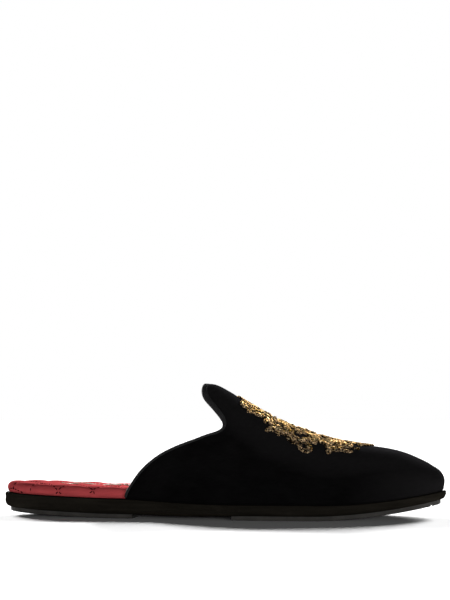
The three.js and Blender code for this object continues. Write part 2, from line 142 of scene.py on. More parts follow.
# The comb of the last: its height above the sole and how far it leans to the inner side
CREST = [
    {"at": 0.3, "height": 1.16 * INSTEP_HEIGHT, "inward": 0.0 * BALL_WIDTH},
    {"at": 0.46, "height": 1.0 * INSTEP_HEIGHT, "inward": 0.02 * BALL_WIDTH},
    {"at": 0.48, "height": 0.998 * INSTEP_HEIGHT, "inward": 0.025 * BALL_WIDTH},
    {"at": 0.505, "height": 0.956 * INSTEP_HEIGHT, "inward": 0.032 * BALL_WIDTH},
    {"at": 0.555, "height": 0.846 * INSTEP_HEIGHT, "inward": 0.045 * BALL_WIDTH},
    {"at": 0.59, "height": 0.769 * INSTEP_HEIGHT, "inward": 0.055 * BALL_WIDTH},
    {"at": 0.63, "height": 0.69 * INSTEP_HEIGHT, "inward": 0.063 * BALL_WIDTH},
    {"at": 0.68, "height": 0.612 * INSTEP_HEIGHT, "inward": 0.07 * BALL_WIDTH},
    {"at": 0.74, "height": 0.541 * INSTEP_HEIGHT, "inward": 0.076 * BALL_WIDTH},
    {"at": 0.8, "height": 0.489 * INSTEP_HEIGHT, "inward": 0.08 * BALL_WIDTH},
    {"at": 0.85, "height": 0.449 * INSTEP_HEIGHT, "inward": 0.08 * BALL_WIDTH},
    {"at": 0.895, "height": 0.391 * INSTEP_HEIGHT, "inward": 0.078 * BALL_WIDTH},
    {"at": 0.942, "height": 0.288 * INSTEP_HEIGHT, "inward": 0.07 * BALL_WIDTH},
    {"at": 1.0, "height": 1.0 * TOE_HEIGHT, "inward": 0.05 * BALL_WIDTH},
]

# The shape of a section from the feather edge to the comb
SECTION = [
    {"at": 0.25, "lean": 0.02, "steep": 0.48, "broad": 0.52},
    {"at": 0.45, "lean": 0.03, "steep": 0.48, "broad": 0.56},
    {"at": 0.6, "lean": 0.035, "steep": 0.5, "broad": 0.6},
    {"at": 0.75, "lean": 0.035, "steep": 0.54, "broad": 0.64},
    {"at": 0.88, "lean": 0.03, "steep": 0.6, "broad": 0.66},
    {"at": 1.0, "lean": 0.02, "steep": 0.7, "broad": 0.64},
]

# The topline from the back of the quarter, over the notch and up the side of the tongue to its tip
TOPLINE = [
    {"at": 0.3, "rise": 0.0},
    {"at": 0.304, "rise": 0.045},
    {"at": 0.313, "rise": 0.101},
    {"at": 0.335, "rise": 0.214},
    {"at": 0.367, "rise": 0.335},
    {"at": 0.405, "rise": 0.437},
    {"at": 0.45, "rise": 0.522},
    {"at": 0.49, "rise": 0.592},
    {"at": 0.507, "rise": 0.639},
    {"at": 0.5158, "rise": 0.682},
    {"at": 0.5178, "rise": 0.722},
    {"at": 0.5142, "rise": 0.758},
    {"at": 0.5045, "rise": 0.792},
    {"at": 0.488, "rise": 0.832},
    {"at": 0.472, "rise": 0.88},
    {"at": 0.463, "rise": 0.935},
    {"at": 0.4605, "rise": 0.975},
    {"at": 0.46, "rise": 1.0},
]

# Soft creases of the velvet, by side: the middle in shares of the sole's length and of the height of the section,
# the length and the width, how far the crease turns from the shoe's long axis, and how deep it is
CREASES = [
    {"side": LATERAL, "at": 0.535, "rise": 0.6, "length": 20, "width": 4.5, "turn": -48, "depth": 0.34},
    {"side": LATERAL, "at": 0.565, "rise": 0.52, "length": 26, "width": 6.0, "turn": -40, "depth": 0.26},
    {"side": LATERAL, "at": 0.63, "rise": 0.34, "length": 30, "width": 7.0, "turn": 28, "depth": 0.3},
    {"side": LATERAL, "at": 0.7, "rise": 0.42, "length": 24, "width": 6.0, "turn": 62, "depth": 0.24},
    {"side": LATERAL, "at": 0.42, "rise": 0.22, "length": 30, "width": 7.0, "turn": 24, "depth": 0.22},
    {"side": LATERAL, "at": 0.86, "rise": 0.5, "length": 18, "width": 5.0, "turn": 80, "depth": 0.22},
    {"side": MEDIAL, "at": 0.54, "rise": 0.58, "length": 20, "width": 4.5, "turn": -50, "depth": 0.32},
    {"side": MEDIAL, "at": 0.6, "rise": 0.42, "length": 30, "width": 7.0, "turn": 20, "depth": 0.28},
    {"side": MEDIAL, "at": 0.68, "rise": 0.36, "length": 26, "width": 6.0, "turn": 50, "depth": 0.28},
    {"side": MEDIAL, "at": 0.43, "rise": 0.25, "length": 28, "width": 6.5, "turn": 30, "depth": 0.22},
    {"side": MEDIAL, "at": 0.87, "rise": 0.5, "length": 18, "width": 5.0, "turn": 84, "depth": 0.2},
]


class Spline:
    """A natural cubic spline through one column of a table."""

    def __init__(self, rows, column, along="at"):
        self.x = np.array([row[along] for row in rows], float)
        self.y = np.array([row[column] for row in rows], float)
        count = len(rows)
        span = np.diff(self.x)
        slope = np.diff(self.y) / span
        system = np.eye(count)
        turn = np.zeros(count)
        for i in range(1, count - 1):
            system[i, i - 1 : i + 2] = span[i - 1], 2 * (span[i - 1] + span[i]), span[i]
            turn[i] = 6 * (slope[i] - slope[i - 1])
        self.bend = np.linalg.solve(system, turn)

    def __call__(self, at):
        at = np.asarray(at, float)
        i = np.clip(np.searchsorted(self.x, at) - 1, 0, len(self.x) - 2)
        span = self.x[i + 1] - self.x[i]
        a = (self.x[i + 1] - at) / span
        b = (at - self.x[i]) / span
        curve = ((a**3 - a) * self.bend[i] + (b**3 - b) * self.bend[i + 1]) * span**2 / 6
        return a * self.y[i] + b * self.y[i + 1] + curve


edge_lateral = Spline(OUTLINE, "lateral")
edge_medial = Spline(OUTLINE, "medial")
outsole_thickness = Spline(THICKNESS, "thickness")
comb_height = Spline(CREST, "height")
comb_inward = Spline(CREST, "inward")
section_lean = Spline(SECTION, "lean")
section_steep = Spline(SECTION, "steep")
section_broad = Spline(SECTION, "broad")


def along_of(at):
    return (np.asarray(at, float) - 0.5) * SOLE_LENGTH


def at_of(x):
    return np.asarray(x, float) / SOLE_LENGTH + 0.5


def smoothstep(value, low, high):
    share = np.clip((np.asarray(value, float) - low) / (high - low), 0, 1)
    return share * share * (3 - 2 * share)


def round_end(share, power):
    return np.maximum(0.0, 1.0 - share**power) ** (1.0 / power)


def end_closing(at):
    """How far the round ends leave the sole open at a station, from 0 at its ends to 1."""
    heel = round_end(np.maximum(0, HEEL_ROUND - at) / HEEL_ROUND, HEEL_POWER)
    toe = round_end(np.maximum(0, at - 1 + TOE_ROUND) / TOE_ROUND, TOE_POWER)
    return heel * toe


def outline_point(at, side):
    """Plan of the sole's edge before it is centred, as an array with x and y last."""
    at = np.clip(at, 0, 1)
    lateral, medial, closing = edge_lateral(at), edge_medial(at), end_closing(at)
    half = np.where(side < 0, lateral, medial) * closing
    return np.stack([along_of(at), side * half + (medial - lateral) / 2 * (1 - closing)], -1)


def unit(vectors):
    return vectors / np.maximum(np.linalg.norm(vectors, axis=-1, keepdims=True), 1e-12)


def inset_point(at, side, inset):
    """Plan of the sole's outline moved inwards."""
    at, side, inset = np.broadcast_arrays(np.asarray(at, float), np.asarray(side, float), np.asarray(inset, float))
    little = 1e-4
    along = unit(outline_point(at + little, side) - outline_point(at - little, side))
    at_heel, at_toe = (at <= little)[..., None], (at >= 1 - little)[..., None]
    across = np.stack([np.zeros_like(side), side], -1)
    along = np.where(at_heel, across, np.where(at_toe, -across, along))
    inward = np.stack([side * along[..., 1], -side * along[..., 0]], -1)
    return outline_point(at, side) + inward * inset[..., None]


def station(steps):
    """Stations that crowd towards both round ends."""
    return (1 - np.cos(np.pi * np.arange(steps + 1) / steps)) / 2


_rim = np.concatenate([outline_point(station(OUTLINE_STEPS), side)[:, 1] for side in (LATERAL, MEDIAL)])
CENTRING = -(_rim.max() + _rim.min()) / 2


def spring(at):
    heel = np.maximum(0, 1 - at / HEEL_FLAT_AT)
    toe = np.maximum(0, (at - TOE_FLAT_AT) / (1 - TOE_FLAT_AT))
    return HEEL_SPRING * heel**HEEL_CURVE + TOE_SPRING * toe**TOE_CURVE


def outsole_bottom(at):
    at = np.clip(at, 0, 1)
    away = np.minimum(1, np.abs(at - WAIST_AT) / WAIST_REACH)
    return PAD_THICKNESS + spring(at) - WAIST_SAG * (1 - away**2) ** 2


def outsole_top(at):
    return outsole_bottom(at) + outsole_thickness(np.clip(at, 0, 1))


def cubic(t, a, b, c, d):
    s = 1 - t
    return s**3 * a + 3 * s**2 * t * b + 3 * s * t**2 * c + t**3 * d


def upper_point(at, t, side):
    """The upper's outer surface: at is the station along the sole, and t runs from the sole to the comb."""
    at, t, side = np.broadcast_arrays(np.asarray(at, float), np.asarray(t, float), np.asarray(side, float))
    fan = np.maximum(0, (at - TOE_FAN_AT) / (1 - TOE_FAN_AT))
    foot = inset_point(at, side, FEATHER_INSET)
    crest_x = along_of(at) - TOE_POLE * fan**3
    crest = np.stack([crest_x, comb_inward(at_of(crest_x))], -1)
    out = cubic(t, 1, 1 + section_lean(at), section_broad(at), 0)
    plan = crest + (foot - crest) * out[..., None]
    there = at_of(plan[..., 0])
    height = outsole_top(there) + SEAM + comb_height(there) * cubic(t, 0, section_steep(at), 1, 1)
    return np.stack([plan[..., 0], plan[..., 1] + CENTRING, height], -1)


def upper_normal(at, t, side):
    """The outward normal of the upper's outer surface."""
    at, t, side = np.broadcast_arrays(np.asarray(at, float), np.asarray(t, float), np.asarray(side, float))
    little = 1e-3
    low = np.minimum(at, 1 - 2 * little)
    t_low = np.where(t > 0.5, t - little, t)
    around = upper_point(low + little, t, side) - upper_point(low - little, t, side)
    up = upper_point(at, t_low + little, side) - upper_point(at, t_low, side)
    across = np.stack([np.zeros_like(side), -side, np.zeros_like(side)], -1)
    at_toe = (at > 1 - 2 * little)[..., None]
    at_comb = (t > 1 - little)[..., None] & ~at_toe
    around = np.where(at_toe, across, around)
    up = np.where(at_comb, across, up)
    return unit(np.cross(around, up) * -side[..., None])


def around_for(at, rise):
    """The share round the section at which it reaches a share of its height."""
    low, high = 0.0, 1.0
    for _ in range(40):
        middle = (low + high) / 2
        if cubic(middle, 0, float(section_steep(at)), 1, 1) < rise:
            low = middle
        else:
            high = middle
    return 1.0 if rise >= 1 else (low + high) / 2


def topline_rows():
    rows = [dict(row, around=around_for(row["at"], row["rise"]), way=0.0) for row in TOPLINE]
    for before, row in zip(rows, rows[1:]):
        step = upper_point(row["at"], row["around"], LATERAL) - upper_point(before["at"], before["around"], LATERAL)
        row["way"] = before["way"] + float(np.linalg.norm(step))
    return rows


_topline = topline_rows()
TOPLINE_WAY = _topline[-1]["way"]
topline_at = Spline(_topline, "at", "way")
topline_around = Spline(_topline, "around", "way")


def topline_stations(steps):
    """Ways up the topline that crowd at the notch."""
    u = np.arange(steps + 1) / steps
    turn = np.sin(2 * np.pi * (u - NOTCH_SHARE + 0.5))
    return TOPLINE_WAY * (u + NOTCH_CROWDING / (2 * np.pi) * (turn - turn[0]))


def grid_place(way, along):
    """A place on the upper: way runs up the topline, and along is the share of a row from there to the toe."""
    at, around = topline_at(way), np.minimum(1, topline_around(way))
    return at + (1 - at) * along, around + (way / TOPLINE_WAY - around) * along


def grid_point(way, along, side):
    return upper_point(*grid_place(way, along), side)


def grid_normal(way, along, side):
    return upper_normal(*grid_place(way, along), side)


def ring_plan(inset, steps):
    """A ring of plan points and their stations, by the outer side to the toe and back by the inner side."""
    stations = station(steps)
    at = np.concatenate([stations, stations[-2:0:-1]])
    side = np.concatenate([np.full(steps + 1, LATERAL), np.full(steps - 1, MEDIAL)])
    plan = inset_point(at, side, inset(at) if callable(inset) else np.full(at.shape, float(inset)))
    plan[:, 1] += CENTRING
    return plan


def grid_faces(rows, columns, first=0, closed=False, flip=False):
    """Four-sided faces of a grid of points, whose columns may close to a ring."""
    r, c = np.meshgrid(np.arange(rows - 1), np.arange(columns if closed else columns - 1), indexing="ij")
    following = (c + 1) % columns
    faces = np.stack([r * columns + c, r * columns + following, (r + 1) * columns + following, (r + 1) * columns + c], -1)
    faces = faces.reshape(-1, 4) + first
    return faces[:, ::-1] if flip else faces


def mesh_object(name, points, blocks, materials, weld=True, smooth=True):
    """A mesh object from points in millimetres and blocks of faces, each with the number of its material."""
    mesh = bpy.data.meshes.new(name)
    mesh.vertices.add(len(points))
    mesh.vertices.foreach_set("co", (np.asarray(points, float) * MM).ravel())
    corners = np.concatenate([faces.ravel() for faces, _ in blocks])
    sizes = np.concatenate([np.full(len(faces), faces.shape[1]) for faces, _ in blocks])
    mesh.loops.add(len(corners))
    mesh.loops.foreach_set("vertex_index", corners.astype(np.int32))
    mesh.polygons.add(len(sizes))
    mesh.polygons.foreach_set("loop_start", np.concatenate([[0], np.cumsum(sizes)[:-1]]).astype(np.int32))
    kinds = np.concatenate([np.full(len(faces), kind) for faces, kind in blocks])
    mesh.polygons.foreach_set("material_index", kinds.astype(np.int32))
    mesh.polygons.foreach_set("use_smooth", np.full(len(sizes), smooth))
    mesh.update(calc_edges=True)
    if weld:
        work = bmesh.new()
        work.from_mesh(mesh)
        bmesh.ops.remove_doubles(work, verts=work.verts, dist=2e-6)
        bmesh.ops.dissolve_degenerate(work, edges=work.edges, dist=1e-7)
        bmesh.ops.recalc_face_normals(work, faces=work.faces)
        work.to_mesh(mesh)
        work.free()
    obj = bpy.data.objects.new(name, mesh)
    bpy.context.scene.collection.objects.link(obj)
    for material in materials:
        mesh.materials.append(material)
    return obj


class Nodes:
    """Adds and links the nodes of one material."""

    def __init__(self, name):
        self.material = bpy.data.materials.new(name)
        self.material.use_nodes = True
        self.tree = self.material.node_tree
        self.shader = self.tree.nodes["Principled BSDF"]
        self.place = self.tree.nodes.new("ShaderNodeTexCoord").outputs["Object"]

    def link(self, source, target):
        self.tree.links.new(source, target)

    def noise(self, scale, detail=3.0, roughness=0.55, stretch=None, distortion=0.0):
        node = self.tree.nodes.new("ShaderNodeTexNoise")
        node.inputs["Scale"].default_value = scale
        node.inputs["Detail"].default_value = detail
        node.inputs["Roughness"].default_value = roughness
        node.inputs["Distortion"].default_value = distortion
        self.link(self.stretched(stretch) if stretch else self.place, node.inputs["Vector"])
        return node.outputs["Fac"]

    def stretched(self, scale, turn=(0.0, 0.0, 0.0)):
        node = self.tree.nodes.new("ShaderNodeMapping")
        node.inputs["Scale"].default_value = scale
        node.inputs["Rotation"].default_value = turn
        self.link(self.place, node.inputs["Vector"])
        return node.outputs["Vector"]

    def wave(self, scale, stretch, turn=(0.0, 0.0, 0.0), distortion=0.0, profile="SIN"):
        node = self.tree.nodes.new("ShaderNodeTexWave")
        node.wave_profile = profile
        node.inputs["Scale"].default_value = scale
        node.inputs["Distortion"].default_value = distortion
        node.inputs["Detail Scale"].default_value = 2.0
        self.link(self.stretched(stretch, turn), node.inputs["Vector"])
        return node.outputs["Fac"]

    def cells(self, scale, randomness=1.0):
        node = self.tree.nodes.new("ShaderNodeTexVoronoi")
        node.inputs["Scale"].default_value = scale
        node.inputs["Randomness"].default_value = randomness
        self.link(self.place, node.inputs["Vector"])
        return node.outputs["Distance"]

    def ramp(self, source, low, high, low_at=0.3, high_at=0.7):
        node = self.tree.nodes.new("ShaderNodeValToRGB")
        first, last = node.color_ramp.elements
        first.position, last.position = low_at, high_at
        first.color = (*low, 1.0)
        last.color = (*high, 1.0)
        self.link(source, node.inputs["Fac"])
        return node.outputs["Color"]

    def range(self, source, low, high, low_at=0.3, high_at=0.7):
        node = self.tree.nodes.new("ShaderNodeMapRange")
        node.inputs["From Min"].default_value = low_at
        node.inputs["From Max"].default_value = high_at
        node.inputs["To Min"].default_value = low
        node.inputs["To Max"].default_value = high
        self.link(source, node.inputs["Value"])
        return node.outputs["Result"]

    def part(self, coordinate, axis):
        """One axis of a coordinate."""
        node = self.tree.nodes.new("ShaderNodeSeparateXYZ")
        self.link(self.tree.nodes.new("ShaderNodeTexCoord").outputs[coordinate], node.inputs["Vector"])
        return node.outputs[axis]

    def mix(self, share, first, second):
        node = self.tree.nodes.new("ShaderNodeMix")
        node.data_type = "RGBA"
        for value, socket in ((share, node.inputs["Factor"]), (first, node.inputs[6]), (second, node.inputs[7])):
            if isinstance(value, bpy.types.NodeSocket):
                self.link(value, socket)
            else:
                socket.default_value = value if isinstance(value, float) else (*value, 1.0)
        return node.outputs[2]

    def math(self, operation, first, second):
        node = self.tree.nodes.new("ShaderNodeMath")
        node.operation = operation
        for value, socket in zip((first, second), node.inputs):
            if isinstance(value, bpy.types.NodeSocket):
                self.link(value, socket)
            else:
                socket.default_value = value
        return node.outputs["Value"]

    def bump(self, height, distance, strength=1.0, after=None):
        node = self.tree.nodes.new("ShaderNodeBump")
        node.inputs["Distance"].default_value = distance
        node.inputs["Strength"].default_value = strength
        self.link(height, node.inputs["Height"])
        if after is not None:
            self.link(after, node.inputs["Normal"])
        return node.outputs["Normal"]

    def finish(self, color=None, roughness=None, normal=None, **fixed):
        """Links the varying inputs and sets the fixed ones on the shader itself."""
        for value, socket in ((color, "Base Color"), (roughness, "Roughness"), (normal, "Normal")):
            if value is not None:
                self.link(value, self.shader.inputs[socket])
        for socket, value in fixed.items():
            self.shader.inputs[socket.replace("_", " ").title().replace("Ior", "IOR")].default_value = value
        return self.material


def tint(color, factor):
    return tuple(min(1.0, max(0.0, part * factor)) for part in color)


def velvet_material(look):
    """Cut pile velvet: nearly black, with a soft bloom where the pile is seen from the side, and painted light on its
    upward faces and its toe end.
    """
    nodes = Nodes("cut_pile_velvet")
    drift = nodes.noise(42, 3, 0.6, distortion=0.6)
    brushed = nodes.noise(260, 4, 0.65, stretch=(0.35, 1.0, 1.0))
    pile = nodes.noise(5200, 2, 0.7)
    deep = tint(look.velvet_color, 0.6)
    shaded = nodes.ramp(drift, deep, look.velvet_color, 0.35, 0.68)
    color = nodes.mix(nodes.range(brushed, 0.0, 0.35), shaded, tint(look.velvet_color, 1.9))
    # Painted light: the velvet is painted lighter where its normal points up and towards the toe end, from x 85 to 145
    # mm, standing for light falling from above and on the toe.
    painted_light_up = nodes.range(nodes.part("Normal", "Z"), 0.0, 1.0, 0.44, 0.9)
    painted_light_toe = nodes.range(nodes.part("Object", "X"), 0.0, 0.7, 0.085, 0.145)
    lighter = nodes.math("MAXIMUM", painted_light_up, painted_light_toe)
    color = nodes.mix(lighter, color, tint(look.velvet_color, look.painted_light_gain))
    height = nodes.bump(pile, look.pile_height * MM, 0.9)
    height = nodes.bump(brushed, look.pile_height * 1.6 * MM, 0.35, after=height)
    roughness = nodes.range(drift, 0.82, 0.96)
    return nodes.finish(
        color,
        roughness,
        height,
        specular_ior_level=0.0,
        sheen_weight=look.velvet_sheen,
        sheen_roughness=0.38,
        sheen_tint=(0.62, 0.6, 0.66, 1.0),
    )


def lining_material(look):
    """A fine black twill inside the upper."""
    nodes = Nodes("twill_lining")
    twill = nodes.wave(1300, (1.0, 0.6, 1.0), (0.0, 0.5, 0.6), 0.6)
    uneven = nodes.noise(60, 3)
    color = nodes.mix(nodes.range(twill, 0.0, 0.5), tint(look.lining_color, 0.7), tint(look.lining_color, 1.5))
    return nodes.finish(
        color, nodes.range(uneven, 0.68, 0.86), nodes.bump(twill, 0.06 * MM, 0.7), specular_ior_level=0.25
    )


def ribbon_material(look):
    """Grosgrain: the ribs are modelled, and this adds the yarn across them."""
    nodes = Nodes("grosgrain_ribbon")
    yarn = nodes.noise(2600, 2, 0.6)
    worn = nodes.noise(90, 4, 0.6)
    color = nodes.ramp(worn, tint(look.ribbon_color, 0.7), tint(look.ribbon_color, 1.35), 0.3, 0.72)
    color = nodes.mix(nodes.range(yarn, 0.0, 0.45), color, tint(look.ribbon_color, 1.9))
    return nodes.finish(
        color,
        nodes.range(worn, 0.6, 0.76),
        nodes.bump(yarn, 0.05 * MM, 0.7),
        specular_ior_level=0.02,
    )


def satin_material(look):
    """Quilted satin: soft shine along the weave, with the yarn just showing, painted shade at the heel end and painted
    light from the quarters forwards.
    """
    nodes = Nodes("quilted_satin")
    drift = nodes.noise(34, 4, 0.6, distortion=0.8)
    streak = nodes.noise(520, 4, 0.6, stretch=(0.16, 1.0, 1.0))
    weft = nodes.wave(900, (0.0, 1.0, 0.6), distortion=0.9)
    warp = nodes.wave(900, (1.0, 0.0, 0.0), distortion=0.9)
    color = nodes.ramp(drift, tint(look.satin_color, 0.84), tint(look.satin_color, 1.12), 0.32, 0.7)
    color = nodes.mix(nodes.range(streak, 0.0, 0.3), color, look.satin_shine)
    # Painted shade darkens the satin towards the heel end, from x -105 to -145 mm, and painted light brightens it from
    # x -100 mm forwards, most from x -60 mm on.
    along = nodes.part("Object", "X")
    color = nodes.mix(nodes.range(along, 0.24, 0.0, -0.145, -0.105), color, tint(look.satin_color, 0.4))
    color = nodes.mix(nodes.range(along, 0.0, 0.5, -0.1, -0.06), color, tint(look.satin_color, 1.6))
    weave = nodes.math("MULTIPLY", weft, warp)
    height = nodes.bump(weave, 0.035 * MM, 0.6)
    height = nodes.bump(streak, 0.12 * MM, 0.45, after=height)
    height = nodes.bump(nodes.noise(150, 4, 0.6, distortion=1.2), 0.45 * MM, 0.4, after=height)
    return nodes.finish(
        color,
        nodes.range(streak, 0.56, 0.7),
        height,
        specular_ior_level=0.0,
        sheen_weight=0.04,
        sheen_roughness=0.3,
        sheen_tint=(1.0, 0.16, 0.17, 1.0),
    )


def thread_material(name, color, shine=0.35, roughness=0.55):
    """Plied sewing thread."""
    nodes = Nodes(name)
    ply = nodes.noise(2400, 3, 0.6)
    shade = nodes.mix(nodes.range(ply, 0.0, 0.8), tint(color, 0.7), tint(color, 1.3))
    return nodes.finish(
        shade, nodes.range(ply, roughness - 0.1, roughness + 0.1), nodes.bump(ply, 0.05 * MM), specular_ior_level=shine
    )


def leather_material(look):
    """The dyed and waxed edge of the sole, with its fibres running along it."""
    nodes = Nodes("waxed_sole_edge")
    layers = nodes.noise(420, 5, 0.65, stretch=(0.08, 0.08, 1.0))
    grain = nodes.noise(1500, 4, 0.6)
    scuffs = nodes.noise(75, 5, 0.7, distortion=0.5)
    color = nodes.ramp(layers, tint(look.leather_color, 0.72), tint(look.leather_color, 1.28), 0.3, 0.7)
    color = nodes.mix(nodes.range(scuffs, 0.0, 0.5, 0.58, 0.78), color, tint(look.leather_color, 2.4))
    height = nodes.bump(grain, 0.05 * MM, 0.6)
    height = nodes.bump(layers, 0.14 * MM, 0.5, after=height)
    return nodes.finish(color, nodes.range(scuffs, 0.5, 0.66), height, specular_ior_level=0.0)


def rubber_material(look):
    """Moulded rubber of the treads, matt and slightly dusty."""
    nodes = Nodes("tread_rubber")
    dust = nodes.noise(120, 5, 0.65)
    skin = nodes.noise(1900, 3, 0.6)
    color = nodes.ramp(dust, tint(look.rubber_color, 0.8), tint(look.rubber_color, 1.3), 0.32, 0.72)
    return nodes.finish(color, nodes.range(dust, 0.62, 0.82), nodes.bump(skin, 0.06 * MM, 0.7), specular_ior_level=0.05)


def gold_material(look, name, tone_factor):
    """Metal-wrapped embroidery thread, with painted highlights for its lit ridges and painted shade for the dark
    between them, both placed by random noise.
    """
    nodes = Nodes(name)
    wrap = nodes.noise(3600, 2, 0.6)
    tone = nodes.noise(300, 3, 0.6)
    # Painted shade and painted highlight: the deep colour stands for shade between the threads and the bright colour
    # for lit ridges, both placed by random noise.
    deep, plain = tint(look.gold_painted_shade, tone_factor), tint(look.gold_color, tone_factor)
    color = nodes.ramp(tone, deep, plain, 0.34, 0.62)
    color = nodes.mix(nodes.range(wrap, 0.0, 0.75, 0.45, 0.7), color, tint(look.gold_painted_highlight, tone_factor))
    # Painted shade: dark speckles stand for the shade between the wire's windings; the same noise also bumps the
    # surface.
    shade_speckle = nodes.noise(800, 1, 0.5)
    color = nodes.mix(nodes.range(shade_speckle, 0.0, 1.0, 0.46, 0.54), tint(look.gold_painted_shade, 0.15 * tone_factor), color)
    return nodes.finish(
        color,
        nodes.range(wrap, 0.5, 0.32),
        nodes.bump(nodes.mix(0.5, wrap, shade_speckle), 0.12 * MM, 0.9),
        metallic=0.7,
        specular_ior_level=0.0,
        specular_tint=(0.7, 0.55, 0.38, 1.0),
    )


def crease_depth(points, side):
    """How far the soft creases and the unevenness of the stuffing move the velvet along its normal."""
    x, z = points[..., 0], points[..., 2]
    moved = 0.10 * np.sin(x / 11.3 + 0.7) * np.sin(z / 8.1 + 1.9 * side)
    moved = moved + 0.07 * np.sin(x / 5.9 + z / 7.7 + 0.4 * side)
    for crease in CREASES:
        top = comb_height(crease["at"])
        middle_x = along_of(crease["at"])
        middle_z = outsole_top(crease["at"]) + SEAM + crease["rise"] * top
        turn = math.radians(crease["turn"])
        along = (x - middle_x) * math.cos(turn) + (z - middle_z) * math.sin(turn)
        across = (z - middle_z) * math.cos(turn) - (x - middle_x) * math.sin(turn)
        along = along / crease["length"]
        across = across / crease["width"]
        trough = -np.exp(-(across**2)) + 0.55 * np.exp(-((across - 1.7) ** 2)) + 0.35 * np.exp(-((across + 1.8) ** 2))
        here = np.where(np.sign(side) == crease["side"], 1.0, 0.0)
        moved = moved + crease["depth"] * trough * np.exp(-(along**2)) * here
    return moved


def fullness(points, t):
    """How far the stuffed toe and the backing of the tongue swell the velvet."""
    x = points[..., 0]
    toe = TOE_FULLNESS * np.exp(-(((x - 126.5) / 10) ** 2)) * smoothstep(t, 0.05, 0.4)
    toe_end = TOE_END_FULLNESS * smoothstep(x, 138, 145) * smoothstep(t, 0.02, 0.25)
    tongue = TONGUE_FULLNESS * smoothstep(-x, -16, -4) * smoothstep(t, 0.55, 0.9)
    return toe + toe_end + tongue


def crease_calm(t):
    """Creases fade out at the sole and on the comb, where the velvet is stretched."""
    return smoothstep(1 - t, 0.0, 0.14) * smoothstep(t, 0.0, 0.1)


def make_upper(settings):
    """Velvet outside and lining inside, as one closed skin."""
    rows, columns = settings.rows + 1, settings.columns
    inner_shares = EDGE_SHARE + (1 - EDGE_SHARE) * np.sin(np.pi / 2 * np.arange(1, columns + 1) / columns)
    shares = np.concatenate([[0, 0.5 * EDGE_SHARE, EDGE_SHARE], inner_shares])
    way = topline_stations(settings.rows)
    parts, blocks, first = [], [], 0
    for side in (LATERAL, MEDIAL):
        ways, alongs = np.meshgrid(way, shares, indexing="ij")
        outer = grid_point(ways, alongs, side)
        normal = grid_normal(ways, alongs, side)
        normal[0, :, 2] = 0
        normal = unit(normal)
        at, around = grid_place(ways, alongs)
        calm = smoothstep(alongs, 0.0, 0.12) * crease_calm(around)
        moved = crease_depth(outer, side) * calm * settings.crease_strength + fullness(outer, around)
        wall = EDGE_WALL + (UPPER_WALL - EDGE_WALL) * smoothstep(alongs, EDGE_SHARE, 3 * EDGE_SHARE)
        lift = outer[..., 2] - (outsole_top(at_of(outer[..., 0])) + SEAM)
        tuck = settings.feather_round * (1 - np.sqrt(1 - (1 - np.clip(lift / 1.6, 0, 1)) ** 2))
        inner = outer + normal * (moved * 0.6 - wall)[..., None]
        outer = outer + normal * (moved - tuck)[..., None]
        outer[0, :, 2] -= SEAM * 0.8
        count = outer.shape[0] * outer.shape[1]
        parts += [outer.reshape(-1, 3), inner.reshape(-1, 3)]
        width = len(shares)
        blocks.append((grid_faces(rows, width, first), 0))
        blocks.append((grid_faces(rows, width, first + count, flip=True), 1))
        for line, kind in ((np.arange(width), 0), (np.arange(rows) * width, 0)):
            a, b = line[:-1] + first, line[1:] + first
            blocks.append((np.stack([a, b, b + count, a + count], -1), kind))
        first += 2 * count
    look = bpy.context.scene.slipper_look
    materials = [velvet_material(look), lining_material(look)]
    upper = mesh_object("velvet_upper", np.concatenate(parts), blocks, materials)
    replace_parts(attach(upper, "root"), "upper")
    return upper


def binding_profile(depth):
    """The ribbon's section from its outer lower edge over the topline to its inner one, and back inside."""
    reach = BINDING_REACH
    rise = BINDING_RISE * (0.6 + 0.4 * depth / BINDING_DEPTH)
    inside = -EDGE_WALL
    outer = [(0.08, depth), (0.42, depth - 0.05), (0.66, depth - 0.3), (reach * 0.94, depth * 0.55), (reach, depth * 0.22)]
    turns = np.radians(np.linspace(0, 180, 11))
    middle, half = inside / 2, -inside / 2 + reach
    fold = [(middle + half * math.cos(a), -rise * math.sin(a)) for a in turns]
    back = [(inside - out, down) for out, down in reversed(outer)]
    closing = [(inside - 0.08, depth - 0.1), (inside - 0.08, -0.06), (0.08, -0.06), (0.08, depth - 0.1)]
    return np.array(outer + fold + back + closing)


def binding_depth(way):
    return BINDING_DEPTH * (BINDING_LOW_SHARE + (1 - BINDING_LOW_SHARE) * smoothstep(way / TOPLINE_WAY, 0.5, 0.95))


def binding_place(way, side, out, down):
    """A point beside the topline: out from the velvet, and down from the topline or, if negative, above it."""
    little = 0.3
    low, high = np.maximum(0, way - little), np.minimum(TOPLINE_WAY, way + little)
    along = unit(grid_point(high, 0.0, side) - grid_point(low, 0.0, side))
    side_array = np.broadcast_to(np.asarray(side, float), way.shape)
    across = np.stack([np.zeros_like(way), -side_array, np.zeros_like(way)], -1)
    along = np.where((way >= TOPLINE_WAY)[..., None], across, along)
    point = grid_point(way, 0.0, side)
    normal = grid_normal(way, 0.0, side)
    into = unit(np.cross(normal, along) * side_array[..., None])
    reach = ((grid_point(way, EDGE_SHARE, side) - point) * into).sum(-1)
    share = EDGE_SHARE * np.maximum(down, 0) / reach
    on_velvet = grid_point(way, share, side) + grid_normal(way, share, side) * out[..., None]
    over_edge = point + normal * out[..., None] + into * down[..., None]
    return np.where((down < 0)[..., None], over_edge, on_velvet)


